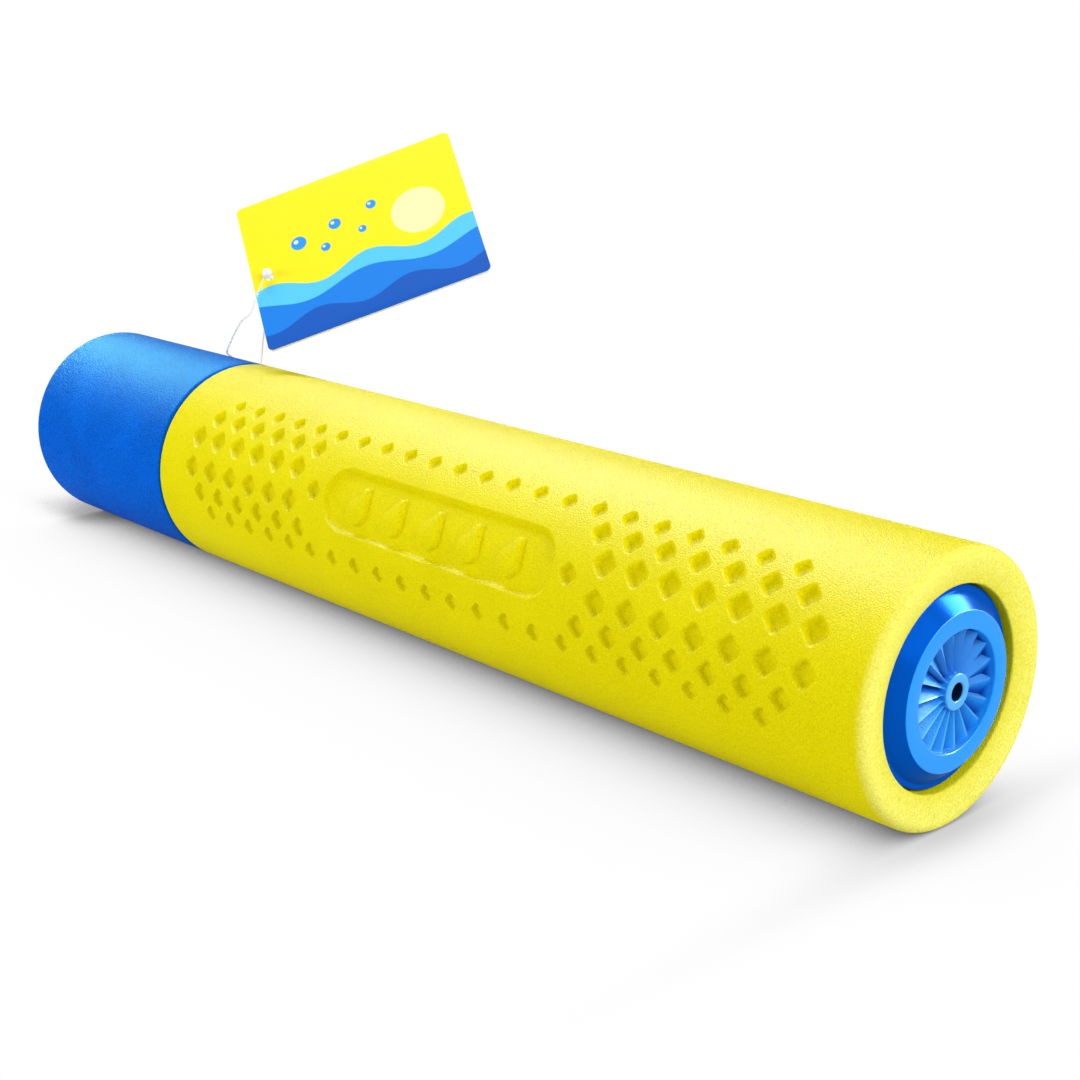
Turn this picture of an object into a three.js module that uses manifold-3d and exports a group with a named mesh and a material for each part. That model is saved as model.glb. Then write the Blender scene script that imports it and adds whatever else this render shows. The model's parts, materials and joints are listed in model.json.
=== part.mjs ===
// Foam water squirter: a syringe-type water toy. A foam-covered tube holds a piston, and a
// foam-covered handle on the piston's rod draws water in through the nozzle and pushes it out.
// Millimetres, +Z up. It lies on its side along X with the nozzle towards +X. The origin is under
// the middle of its length, on the surface that it lies on.
import * as THREE from 'three';
import { mergeVertices } from 'three/addons/utils/BufferGeometryUtils.js';
import loadManifold from 'manifold-3d';

const wasm = await loadManifold();
wasm.setup();

// Clearances
const seatGap = 0.3;
const runGap = 0.3;
const parkGap = 0.8;

// Barrel tube, with the stroke that draws in about 120 mL
const tubeInnerRadius = 16.2;
const tubeWall = 1.8;
const stroke = 146;

// Foam
const foamWall = 6.7;
const handleFoamLength = 64.2;
const seamGap = 0.5;
const frontEdgeRadius = 1.8;
const rearEdgeRadius = 1.2;
const seamEdgeRadius = 0.4;
const mouthSink = 1.4;
const mouthEdgeRadius = 0.5;
const restFlatDepth = 0.3;

// Diamond pockets pressed into the barrel foam, in rows on both sides of a centre line
const patternAngle = 21.3;
const columnPitch = 8.15;
const patternRearMargin = 14.4;
const patternFrontMargin = 13;
const rearColumns = 6;
const frontColumns = 7;
const pocketDraft = 0.8;
const pocketRows = [
  { arc: 3.75, diagonal: 6, depth: 1.3 },
  { arc: 9.2, diagonal: 5, depth: 1.2, staggered: true },
  { arc: 13.65, diagonal: 3.8, depth: 1, wholeLength: true },
];
const singlePocket = { arc: 0, diagonal: 5, depth: 1.2 };

// Pill-shaped panel between the pockets, with a row of raised drops
const panelWidth = 14.4;
const panelDepth = 1;
const panelEndGap = 4;
const dropCount = 5;
const dropPitch = 12.2;
const dropRadius = 3;
const dropTipReach = 2.3;
const dropTilt = 20;

// Nozzle cap
const coneDepth = 2.9;
const coneWidth = 2.75;
const bandWidth = 1.15;
const ringWidth = 3.3;
const ringEdge = 0.3;
const dishDepth = 2.5;
const vaneCount = 18;
const vaneHeight = 1.2;
const hubRadius = 3.25;
const orificeRadius = 1.65;
const inletRadius = 2.8;
const inletBossRadius = 4.2;
const inletBossLength = 3;
const nozzleWall = 2.4;
const flangeThickness = 2.2;
const spigotLength = 11;
const spigotWall = 1.4;
const leadIn = 0.8;

// Seals
const sealSection = 1.8;

// Piston
const pistonLength = 18;
const pistonEndLand = 2.2;
const pistonRimWall = 1.6;
const pistonHubWall = 3;
const pistonPocketDepth = 6;
const washerRadius = 8;
const washerThickness = 1.2;
const washerRoom = 1.5;
const screwSpare = 1.5;

// Rod and its end plugs
const rodRadius = 7;
const rodWall = 1.8;
const noseRadius = 4.5;
const plugFlangeThickness = 1.2;
const plugTailLength = 12;

// Screws
const shankRadius = 1.5;
const shankLength = 14;
const headRadius = 3.8;
const headHeight = 2.4;
const headEdge = 0.8;
const pilotSpare = 1.5;

// Rear cap with its rod guide, which is also the piston's stop
const loopCavity = 1.7;
const rearFlangeThickness = 2;
const rearPlugLength = 10;
const rearPlugWall = 2;
const guideLength = 30.4;
const guideWall = 2.2;
const ventCount = 4;
const ventLand = 0.7;

// Handle
const coreRadius = 14.3;
const coreWall = 2;
const discRecess = 0.5;
const discThickness = 1.9;
const discSpigotLength = 8;
const endCapRecess = 0.5;
const endCapThickness = 2.5;
const endCapSpigotLength = 6;
const endCapSpigotWall = 2;
const endCapBossLength = 9;
const capEdge = 0.4;
const counterboreRoom = 0.5;
const counterboreSpare = 0.8;

// Hang tag on its plastic loop
const tagWidth = 58;
const tagHeight = 46;
const tagThickness = 0.6;
const tagCornerRadius = 1.5;
const tagHoleRadius = 1.1;
const tagHoleInset = 4.5;
const tagHoleDrop = 1.2;
const tagHoleForward = 1.1;
const tagHoleY = 8.9;
const tagHoleAboveFoam = 21.1;
const tagHeading = 29.6;
const tagLean = 48.9;
const tagRoll = 27.8;
const lockRadius = 1.3;
const loopRadius = 0.35;
const loopSteps = 84;
const loopRingClearance = 1;
const channelRoom = 0.5;
const loopTopAngle = 12.5;
const loopSideAngle = 62;

// Facets round each turned piece
const foamFacets = 48;
const nozzleFacets = 36;
const tubeFacets = 32;
const smallFacets = 18;
const sealSides = 6;

// Radii that follow
const tubeRadius = tubeInnerRadius + tubeWall;
const sleeveBore = tubeRadius + seatGap;
const foamRadius = sleeveBore + foamWall;
const axisHeight = foamRadius - restFlatDepth;
const tubeFit = tubeInnerRadius - seatGap;
const pistonRadius = tubeInnerRadius - runGap;
const sealRadius = tubeInnerRadius - seatGap - sealSection / 2;
const grooveRadius = sealRadius - sealSection / 2 - seatGap;
const grooveHalf = sealSection / 2 + seatGap;
const rodInnerRadius = rodRadius - rodWall;
const guideBore = rodRadius + runGap;
const guideRadius = guideBore + guideWall;
const coreInnerRadius = coreRadius - coreWall;
const gripBore = coreRadius + seatGap;
const pilotRadius = shankRadius + seatGap;

// Places along X that follow
const recessDepth = 3 * seatGap + washerThickness + headHeight + screwSpare;
const barrelFoamLength = coneDepth + flangeThickness + spigotLength + parkGap + pistonLength
  + stroke + runGap + guideLength + rearFlangeThickness + loopCavity;
const totalLength = barrelFoamLength + seamGap + handleFoamLength;
const frontX = totalLength / 2;
const sleeveRearX = frontX - barrelFoamLength;
const gripFrontX = sleeveRearX - seamGap;
const gripRearX = -frontX;
const ringFaceX = frontX;
const flangeFaceX = ringFaceX - coneDepth;
const flangeRearX = flangeFaceX - flangeThickness;
const spigotRearX = flangeRearX - spigotLength;
const nozzleSealX = (flangeRearX + spigotRearX) / 2;
const pistonFrontX = spigotRearX - parkGap;
const pistonRearX = pistonFrontX - pistonLength;
const sealInset = pistonEndLand + grooveHalf;
const recessFloorX = pistonFrontX - recessDepth;
const noseEndX = recessFloorX + seatGap;
const washerRearX = noseEndX + seatGap;
const pistonHeadRearX = washerRearX + washerThickness + seatGap;
const plugFlangeFrontX = pistonRearX - runGap;
const plugFlangeRearX = plugFlangeFrontX - plugFlangeThickness;
const rodFrontX = plugFlangeRearX - seatGap;
const rearCapFaceX = sleeveRearX + loopCavity;
const rearFlangeFrontX = rearCapFaceX + rearFlangeThickness;
const stopX = rearFlangeFrontX + guideLength;
const discFrontX = gripFrontX - discRecess;
const discRearX = discFrontX - discThickness;
const endCapFaceX = gripRearX + endCapRecess;
const endCapFrontX = endCapFaceX + endCapThickness;
const endCapBossX = endCapFrontX + endCapBossLength;
const rodRearX = endCapBossX + seatGap;
const counterboreX = endCapFaceX + headHeight + counterboreSpare;
const handleHeadFrontX = counterboreX - seatGap;

// Body turned about the X axis from [x, radius] points. The outer side runs towards +X, and
// an outline that stays off the axis closes on itself.
function turned(outline, facets) {
  const points = outline.map(([x, radius]) => new THREE.Vector2(radius, x));
  if (points[0].x > 0) points.push(points[0].clone());
  return new THREE.LatheGeometry(points, facets).rotateZ(-Math.PI / 2);
}

// Quarter round from one direction to another, in degrees, as [x, radius] points.
function quarter(x, radius, size, from, to, steps) {
  return Array.from({ length: steps + 1 }, (_, step) => {
    const angle = THREE.MathUtils.degToRad(from + (to - from) * step / steps);
    return [x + size * Math.cos(angle), radius + size * Math.sin(angle)];
  });
}

function plainTube(rearX, endX, innerRadius, outerRadius, facets) {
  return turned([[rearX, outerRadius], [endX, outerRadius], [endX, innerRadius], [rearX, innerRadius]], facets);
}

// Ring groove in an outline, as four points round the groove's floor.
function groove(x, surface) {
  return [
    [x - grooveHalf, surface],
    [x - grooveHalf, grooveRadius],
    [x + grooveHalf, grooveRadius],
    [x + grooveHalf, surface],
  ];
}

function toSolid(geometry) {
  const bare = geometry.clone();
  bare.deleteAttribute('normal');
  bare.deleteAttribute('uv');
  const merged = mergeVertices(bare, 1e-4);
  const index = merged.index.array;
  const triVerts = [];
  for (let i = 0; i < index.length; i += 3) {
    const [a, b, c] = index.slice(i, i + 3);
    if (a !== b && b !== c && c !== a) triVerts.push(a, b, c);
  }
  return new wasm.Manifold(new wasm.Mesh({
    numProp: 3,
    vertProperties: new Float32Array(merged.attributes.position.array),
    triVerts: new Uint32Array(triVerts),
  }));
}

function toGeometry(solid) {
  const mesh = solid.getMesh();
  const geometry = new THREE.BufferGeometry();
  geometry.setAttribute('position', new THREE.BufferAttribute(mesh.vertProperties, 3));
  geometry.setIndex(new THREE.BufferAttribute(mesh.triVerts, 1));
  return geometry;
}

function joined(geometries) {
  return geometries.map(toSolid).reduce((sum, solid) => sum.add(solid));
}

// Turns a shape made on the top of the foam to an angle above the -Y side.
function toSide(geometry, degrees) {
  return geometry.rotateX(Math.PI / 2 - THREE.MathUtils.degToRad(degrees));
}

// Flat along the underside, where the foam has settled on the surface that it lies on.
function cutRestFlat(solid) {
  const reach = 2 * totalLength;
  const below = new THREE.BoxGeometry(reach, reach, reach).translate(0, 0, -axisHeight - reach / 2);
  return solid.subtract(toSolid(below));
}

// Diamond pocket with sloping walls, as a cutter with four sides.
function pocketCutter(pocket, x, degrees) {
  const rise = pocket.depth;
  const surfaceReach = pocket.diagonal / 2;
  const cutter = new THREE.CylinderGeometry(
    surfaceReach + pocketDraft, surfaceReach - pocketDraft, pocket.depth + rise, 4);
  cutter.rotateX(Math.PI / 2).translate(x, 0, foamRadius);
  return toSide(cutter, degrees);
}

// Columns of the pattern, counted from the seam.
const columnCount = Math.floor((barrelFoamLength - patternRearMargin - patternFrontMargin) / columnPitch) + 1;
const rearSingle = rearColumns;
const frontSingle = columnCount - 1 - frontColumns;

function columnX(column) {
  return sleeveRearX + patternRearMargin + column * columnPitch;
}

function hasPocket(row, column) {
  const place = column + (row.staggered ? 0.5 : 0);
  if (row.wholeLength) return column > 0 && column < columnCount - 1;
  return place < rearSingle || (place > frontSingle && place < columnCount - 1 + (row.staggered ? 0 : 0.5));
}

function pocketPattern() {
  const degreesPerArc = THREE.MathUtils.radToDeg(1 / foamRadius);
  const cutters = [rearSingle, frontSingle].map((column) => pocketCutter(singlePocket, columnX(column), patternAngle));
  for (const row of pocketRows) {
    for (let column = 0; column < columnCount; column += 1) {
      if (!hasPocket(row, column)) continue;
      const x = columnX(column + (row.staggered ? 0.5 : 0));
      for (const side of [-1, 1]) {
        cutters.push(pocketCutter(row, x, patternAngle + side * row.arc * degreesPerArc));
      }
    }
  }
  return joined(cutters);
}

function pillShape(length, width) {
  const end = (length - width) / 2;
  const shape = new THREE.Shape();
  shape.absarc(end, 0, width / 2, -Math.PI / 2, Math.PI / 2, false);
  shape.absarc(-end, 0, width / 2, Math.PI / 2, 3 * Math.PI / 2, false);
  return shape;
}

function dropShape() {
  const spread = Math.acos(1 / dropTipReach);
  const shape = new THREE.Shape();
  shape.moveTo(0, dropTipReach * dropRadius);
  shape.absarc(0, 0, dropRadius, Math.PI / 2 + spread, 5 * Math.PI / 2 - spread, false);
  return shape;
}

// Panel recess with a curved floor, less the drops that stay standing in it.
function panelCutter() {
  const below = foamRadius / 4;
  const raise = foamRadius - below;
  const depth = below + panelDepth;
  const length = (frontSingle - rearSingle) * columnPitch - 2 * panelEndGap;
  const middleX = (columnX(rearSingle) + columnX(frontSingle)) / 2;
  const pill = new THREE.ExtrudeGeometry(pillShape(length, panelWidth), { depth, bevelEnabled: false, curveSegments: 8 });
  const shell = plainTube(sleeveRearX, frontX, foamRadius - panelDepth, foamRadius + 2 * panelDepth, foamFacets);
  let cutter = toSolid(toSide(pill.translate(middleX, 0, raise), patternAngle)).intersect(toSolid(shell));
  for (let place = 0; place < dropCount; place += 1) {
    const drop = new THREE.ExtrudeGeometry(dropShape(), { depth: 2 * depth, bevelEnabled: false, curveSegments: 6 });
    drop.translate(0, (1 - dropTipReach) / 2 * dropRadius, 0).rotateZ(THREE.MathUtils.degToRad(-dropTilt));
    drop.translate(middleX + (place - (dropCount - 1) / 2) * dropPitch, 0, raise - depth / 2);
    cutter = cutter.subtract(toSolid(toSide(drop, patternAngle)));
  }
  return cutter;
}

// Channels that the tag's loop has pressed into the rear face of the barrel foam.
function loopChannels() {
  const depth = 2 * loopRadius + 2 * channelRoom;
  const length = 2 * (foamWall + channelRoom);
  return joined([loopTopAngle, loopSideAngle].map((degrees) => new THREE.BoxGeometry(2 * depth, depth, length)
    .translate(sleeveRearX, 0, foamRadius)
    .rotateX(-THREE.MathUtils.degToRad(degrees))));
}

// The front face dips towards the mouth, where the nozzle cap has drawn the foam in.
function barrelSleeve() {
  const frontEdge = Math.min(frontEdgeRadius, foamWall / 2);
  const mouthEdge = Math.min(mouthEdgeRadius, foamWall / 4);
  const body = turned([
    ...quarter(sleeveRearX + seamEdgeRadius, foamRadius - seamEdgeRadius, seamEdgeRadius, 180, 90, 1),
    ...quarter(frontX - frontEdge, foamRadius - frontEdge, frontEdge, 90, 0, 3),
    ...quarter(frontX - mouthSink - mouthEdge, sleeveBore + mouthEdge, mouthEdge, 0, -90, 1),
    [sleeveRearX, sleeveBore],
  ], foamFacets);
  return toGeometry(cutRestFlat(toSolid(body))
    .subtract(pocketPattern())
    .subtract(panelCutter())
    .subtract(loopChannels()));
}

// Sawtooth vane of the nozzle's dish: a sector of a ring whose top climbs round the axis.
function vane(turn) {
  const span = 2 * Math.PI / vaneCount;
  const dishRadius = tubeRadius - bandWidth - coneWidth - ringWidth;
  const sunk = nozzleWall / 2;
  const steps = 2;
  const shape = new THREE.Shape();
  shape.absarc(0, 0, dishRadius + ringEdge, 0, span, false);
  shape.absarc(0, 0, hubRadius - ringEdge, span, 0, true);
  const sector = new THREE.ExtrudeGeometry(shape, { depth: sunk, bevelEnabled: false, curveSegments: steps });
  const position = sector.attributes.position;
  for (let i = 0; i < position.count; i += 1) {
    if (position.getZ(i) < sunk / 2) continue;
    const climb = Math.atan2(position.getY(i), position.getX(i)) / span;
    position.setZ(i, sunk + vaneHeight * climb - ringEdge / 2);
  }
  return sector.rotateZ(turn).rotateY(Math.PI / 2).translate(ringFaceX - dishDepth - sunk, 0, 0);
}

function nozzleCap() {
  const coneFoot = tubeRadius - bandWidth;
  const ringRadius = coneFoot - coneWidth;
  const dishRadius = ringRadius - ringWidth;
  const dishFloorX = ringFaceX - dishDepth;
  const wallRearX = dishFloorX - nozzleWall;
  const inletX = wallRearX - inletBossLength;
  const spigotBore = grooveRadius - spigotWall;
  const body = turned([
    [spigotRearX, tubeFit - leadIn],
    [spigotRearX + leadIn, tubeFit],
    ...groove(nozzleSealX, tubeFit),
    [flangeRearX, tubeFit],
    [flangeRearX, tubeRadius],
    [flangeFaceX, tubeRadius],
    [flangeFaceX, coneFoot],
    [ringFaceX - ringEdge, ringRadius],
    [ringFaceX, ringRadius - ringEdge],
    [ringFaceX, dishRadius + ringEdge],
    [ringFaceX - ringEdge, dishRadius],
    [dishFloorX, dishRadius],
    [dishFloorX, hubRadius],
    [ringFaceX - ringEdge, hubRadius],
    [ringFaceX, hubRadius - ringEdge],
    [ringFaceX, orificeRadius],
    [wallRearX, orificeRadius],
    [inletX, inletRadius],
    [inletX, inletBossRadius],
    [wallRearX, inletBossRadius],
    [wallRearX, spigotBore],
    [spigotRearX, spigotBore],
  ], nozzleFacets);
  const vanes = Array.from({ length: vaneCount }, (_, place) => vane(2 * Math.PI * place / vaneCount));
  return toGeometry(joined([body, ...vanes]));
}

function seal(x) {
  return new THREE.TorusGeometry(sealRadius, sealSection / 2, sealSides, tubeFacets).rotateY(Math.PI / 2).translate(x, 0, 0);
}

function rearCap() {
  const plugFrontX = rearFlangeFrontX + rearPlugLength;
  const plugBore = tubeFit - rearPlugWall;
  const ventRadius = (plugBore - guideRadius) / 2 - ventLand;
  const ventPlace = (plugBore + guideRadius) / 2;
  let cap = toSolid(turned([
    [rearCapFaceX, tubeRadius],
    [rearFlangeFrontX, tubeRadius],
    [rearFlangeFrontX, tubeFit],
    [plugFrontX - leadIn, tubeFit],
    [plugFrontX, tubeFit - leadIn],
    [plugFrontX, plugBore],
    [rearFlangeFrontX, plugBore],
    [rearFlangeFrontX, guideRadius],
    [stopX, guideRadius],
    [stopX, guideBore],
    [rearCapFaceX, guideBore],
  ], tubeFacets));
  for (let place = 0; place < ventCount; place += 1) {
    const vent = new THREE.CylinderGeometry(ventRadius, ventRadius, 2 * rearFlangeThickness, 12);
    vent.rotateZ(Math.PI / 2).translate((rearCapFaceX + rearFlangeFrontX) / 2, 0, ventPlace);
    cap = cap.subtract(toSolid(vent.rotateX(2 * Math.PI * (place + 0.5) / ventCount)));
  }
  return toGeometry(cap);
}

function pistonHead() {
  const hubBore = noseRadius + runGap;
  const hubRadiusRear = hubBore + pistonHubWall;
  const rimInner = grooveRadius - pistonRimWall;
  const pocketX = pistonRearX + Math.min(pistonPocketDepth, (recessFloorX - pistonRearX) / 2);
  const recessRadius = washerRadius + washerRoom;
  return turned([
    [pistonRearX, rimInner],
    [pistonRearX, pistonRadius],
    ...groove(pistonRearX + sealInset, pistonRadius),
    ...groove(pistonFrontX - sealInset, pistonRadius),
    [pistonFrontX, pistonRadius],
    [pistonFrontX, recessRadius],
    [recessFloorX, recessRadius],
    [recessFloorX, hubBore],
    [pistonRearX, hubBore],
    [pistonRearX, hubRadiusRear],
    [pocketX, hubRadiusRear],
    [pocketX, rimInner],
  ], tubeFacets);
}

// Pan-head screw with its tip towards -X, or towards +X when it is turned round.
function screw(headX, turnedRound) {
  const body = turned([
    [-shankLength, 0],
    [-shankLength + shankRadius, shankRadius],
    [0, shankRadius],
    [0, headRadius],
    [headHeight - headEdge, headRadius],
    [headHeight, headRadius - headEdge],
    [headHeight, 0],
  ], smallFacets);
  if (turnedRound) body.rotateY(Math.PI);
  return body.translate(headX, 0, 0);
}

function rodFrontPlug() {
  const pilotEndX = pistonHeadRearX - shankLength - pilotSpare;
  const tailRadius = rodInnerRadius - seatGap;
  return turned([
    [rodFrontX - plugTailLength, 0],
    [rodFrontX - plugTailLength, tailRadius],
    [plugFlangeRearX, tailRadius],
    [plugFlangeRearX, rodRadius],
    [plugFlangeFrontX, rodRadius],
    [plugFlangeFrontX, noseRadius],
    [noseEndX, noseRadius],
    [noseEndX, pilotRadius],
    [pilotEndX, pilotRadius],
    [pilotEndX, 0],
  ], smallFacets);
}

function rodRearPlug() {
  const pilotEndX = handleHeadFrontX + shankLength + pilotSpare;
  const tailRadius = rodInnerRadius - seatGap;
  const plugFrontX = Math.max(rodRearX + plugTailLength, pilotEndX + pilotSpare);
  return turned([
    [rodRearX, pilotRadius],
    [rodRearX, tailRadius],
    [plugFrontX, tailRadius],
    [plugFrontX, 0],
    [pilotEndX, 0],
    [pilotEndX, pilotRadius],
    [rodRearX, pilotRadius],
  ], smallFacets);
}

function handleFrontDisc() {
  const bore = rodRadius + seatGap;
  const spigotRadius = coreInnerRadius - seatGap;
  return turned([
    [discRearX - discSpigotLength, spigotRadius],
    [discRearX, spigotRadius],
    [discRearX, coreRadius],
    [discFrontX - capEdge, coreRadius],
    [discFrontX, coreRadius - capEdge],
    [discFrontX, bore],
    [discRearX - discSpigotLength, bore],
  ], tubeFacets);
}

function handleEndCap() {
  const spigotRadius = coreInnerRadius - seatGap;
  const spigotX = endCapFrontX + endCapSpigotLength;
  const counterbore = headRadius + counterboreRoom;
  return turned([
    [endCapFaceX, coreRadius - capEdge],
    [endCapFaceX + capEdge, coreRadius],
    [endCapFrontX, coreRadius],
    [endCapFrontX, spigotRadius],
    [spigotX, spigotRadius],
    [spigotX, spigotRadius - endCapSpigotWall],
    [endCapFrontX, spigotRadius - endCapSpigotWall],
    [endCapFrontX, rodRadius],
    [endCapBossX, rodRadius],
    [endCapBossX, pilotRadius],
    [counterboreX, pilotRadius],
    [counterboreX, counterbore],
    [endCapFaceX, counterbore],
  ], tubeFacets);
}

function handleGrip() {
  const rearEdge = Math.min(rearEdgeRadius, (foamRadius - gripBore) / 2);
  const body = turned([
    ...quarter(gripRearX + mouthEdgeRadius, gripBore + mouthEdgeRadius, mouthEdgeRadius, 270, 180, 1),
    ...quarter(gripRearX + rearEdge, foamRadius - rearEdge, rearEdge, 180, 90, 3),
    ...quarter(gripFrontX - seamEdgeRadius, foamRadius - seamEdgeRadius, seamEdgeRadius, 90, 0, 1),
    [gripFrontX, gripBore],
  ], foamFacets);
  return toGeometry(cutRestFlat(toSolid(body)));
}

// Card with round corners and a punched hole, its face in the local XY plane about the hole.
function tagCard() {
  const halfWidth = tagWidth / 2 - tagCornerRadius;
  const halfHeight = tagHeight / 2 - tagCornerRadius;
  const card = new THREE.Shape();
  card.absarc(halfWidth, halfHeight, tagCornerRadius, 0, Math.PI / 2, false);
  card.absarc(-halfWidth, halfHeight, tagCornerRadius, Math.PI / 2, Math.PI, false);
  card.absarc(-halfWidth, -halfHeight, tagCornerRadius, Math.PI, 3 * Math.PI / 2, false);
  card.absarc(halfWidth, -halfHeight, tagCornerRadius, 3 * Math.PI / 2, 2 * Math.PI, false);
  const hole = new THREE.Path();
  hole.absarc(tagHoleInset - tagWidth / 2, -tagHoleDrop, tagHoleRadius, 0, 2 * Math.PI, true);
  card.holes.push(hole);
  const sheet = new THREE.ExtrudeGeometry(card, { depth: tagThickness, bevelEnabled: false, curveSegments: 5 });
  return sheet.translate(tagWidth / 2 - tagHoleInset, tagHoleDrop, -tagThickness / 2);
}

// Point round the axis, at an angle from the top towards +Y.
function roundAxis(x, radius, degrees) {
  const angle = THREE.MathUtils.degToRad(degrees);
  return new THREE.Vector3(x, radius * Math.sin(angle), radius * Math.cos(angle));
}

// Loop from the tag's lock, over the handle, into the seam, round the rod and back up
// through the tag's hole. The tag's own points are given in the tag's frame.
function tagLoop(tagFrame) {
  const onTag = (across, up, out) => tagFrame.localToWorld(new THREE.Vector3(across, up, out));
  const ringX = sleeveRearX + loopRadius + seatGap / 4;
  const ringRadius = rodRadius + loopRadius + loopRingClearance;
  const lockReach = lockRadius + seatGap;
  const lockOut = tagThickness / 2 + seatGap + lockRadius;
  const ring = Array.from({ length: 7 }, (_, step) => {
    const turn = loopSideAngle + 20 + (320 + loopTopAngle - loopSideAngle) * step / 6;
    return roundAxis(ringX, ringRadius, turn);
  });
  const route = new THREE.CatmullRomCurve3([
    onTag(-0.75 * lockReach, -0.69 * lockReach, lockOut),
    onTag(-2.8, -3.6, 1.8),
    onTag(-4.7, -6, 1.2),
    onTag(-6.9, -7.6, -0.8),
    onTag(-10.4, -7.1, -4.6),
    roundAxis(gripFrontX - 10.4, foamRadius + 6.6, 9.5),
    roundAxis(gripFrontX - 15.6, foamRadius + 1.7, 13.5),
    roundAxis(gripFrontX - 20, foamRadius + 0.8, 22),
    roundAxis(gripFrontX - 22.5, foamRadius + 0.8, 34),
    roundAxis(gripFrontX - 19.5, foamRadius + 0.9, 46),
    roundAxis(gripFrontX - 12.5, foamRadius + 1.3, 54),
    roundAxis(ringX - 5, foamRadius + 2.6, 59.5),
    roundAxis(ringX - 1.5, foamRadius + 2.5, 61.4),
    roundAxis(ringX, foamRadius + 0.6, loopSideAngle),
    roundAxis(ringX, foamRadius - 2, loopSideAngle),
    roundAxis(ringX, sleeveBore + 2, loopSideAngle),
    roundAxis(ringX, sleeveBore - 1, loopSideAngle),
    ...ring,
    roundAxis(ringX, sleeveBore - 1, loopTopAngle),
    roundAxis(ringX, sleeveBore + 2, loopTopAngle),
    roundAxis(ringX, foamRadius - 2, loopTopAngle),
    roundAxis(ringX, foamRadius + 1.5, loopTopAngle),
    onTag(-6, -10, -6),
    onTag(-0.6, -1.2, -2.4),
    onTag(0, 0, -tagThickness),
    onTag(0, 0, tagThickness / 2),
  ], false, 'centripetal');
  const section = new THREE.Shape(Array.from({ length: 8 }, (_, side) => new THREE.Vector2(
    loopRadius * Math.cos(side * Math.PI / 4),
    loopRadius * Math.sin(side * Math.PI / 4),
  )));
  return new THREE.ExtrudeGeometry(section, { steps: loopSteps, extrudePath: route });
}

function plastic(color, roughness) {
  return new THREE.MeshStandardMaterial({ color, roughness, metalness: 0 });
}

const yellowFoam = plastic(0xecdf1e, 0.85);
const blueFoam = plastic(0x0a62d4, 0.85);
const bluePlastic = plastic(0x1f86ee, 0.35);
const whitePlastic = plastic(0xf2f3f2, 0.4);
const clearPlastic = plastic(0xdfe8ee, 0.2);
const blackRubber = plastic(0x1b1c1e, 0.6);
const nylon = plastic(0xf4f6f6, 0.25);
const card = plastic(0xf6e81e, 0.5);
const steel = new THREE.MeshStandardMaterial({ color: 0xb8bcc0, roughness: 0.35, metalness: 1 });

// Everything that is turned about the barrel's axis hangs in this group.
const squirter = new THREE.Group();
const onAxis = new THREE.Group();
onAxis.position.z = axisHeight;
squirter.add(onAxis);

function addPiece(name, geometry, material, parent = onAxis) {
  const mesh = new THREE.Mesh(geometry, material);
  mesh.name = name;
  parent.add(mesh);
  return mesh;
}

// Barrel
addPiece('barrel_sleeve', barrelSleeve(), yellowFoam);
addPiece('barrel_tube', plainTube(rearFlangeFrontX + seatGap, flangeRearX - seatGap, tubeInnerRadius, tubeRadius,
  tubeFacets), clearPlastic);
addPiece('nozzle_cap', nozzleCap(), bluePlastic);
addPiece('nozzle_seal', seal(nozzleSealX), blackRubber);
addPiece('rear_cap', rearCap(), whitePlastic);

// Piston
addPiece('piston_head', pistonHead(), whitePlastic);
addPiece('piston_seal_front', seal(pistonFrontX - sealInset), blackRubber);
addPiece('piston_seal_rear', seal(pistonRearX + sealInset), blackRubber);

// Rod and handle
addPiece('plunger_rod', plainTube(rodRearX, rodFrontX, rodInnerRadius, rodRadius, smallFacets), whitePlastic);
addPiece('rod_front_plug', rodFrontPlug(), whitePlastic);
addPiece('rod_rear_plug', rodRearPlug(), whitePlastic);
addPiece('piston_washer', plainTube(washerRearX, washerRearX + washerThickness, pilotRadius, washerRadius,
  smallFacets), steel);
addPiece('piston_screw', screw(pistonHeadRearX, false), steel);
addPiece('handle_core', plainTube(endCapFrontX + seatGap, discRearX - seatGap, coreInnerRadius, coreRadius,
  tubeFacets), whitePlastic);
addPiece('handle_front_disc', handleFrontDisc(), whitePlastic);
addPiece('handle_grip', handleGrip(), blueFoam);
addPiece('handle_end_cap', handleEndCap(), whitePlastic);
addPiece('handle_screw', screw(handleHeadFrontX, true), steel);

// Hang tag, leaning back and turned on its loop
const tagPlace = new THREE.Group();
tagPlace.position.set(sleeveRearX + tagHoleForward, tagHoleY, foamRadius + tagHoleAboveFoam);
tagPlace.rotation.z = THREE.MathUtils.degToRad(tagHeading);
const tagTilt = new THREE.Group();
tagTilt.rotation.x = THREE.MathUtils.degToRad(tagLean);
const tagTurn = new THREE.Group();
tagTurn.rotation.z = THREE.MathUtils.degToRad(tagRoll);
tagPlace.add(tagTilt);
tagTilt.add(tagTurn);
tagPlace.updateMatrixWorld(true);
addPiece('tag_loop', tagLoop(tagTurn), nylon);
onAxis.add(tagPlace);
addPiece('hang_tag', tagCard(), card, tagTurn);
addPiece('tag_lock', new THREE.SphereGeometry(lockRadius, 12, 8), nylon, tagTurn)
  .position.z = tagThickness / 2 + seatGap + lockRadius;

export default squirter;
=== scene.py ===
import json
import math

import bmesh
import bpy
from mathutils import Matrix, Vector

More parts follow.
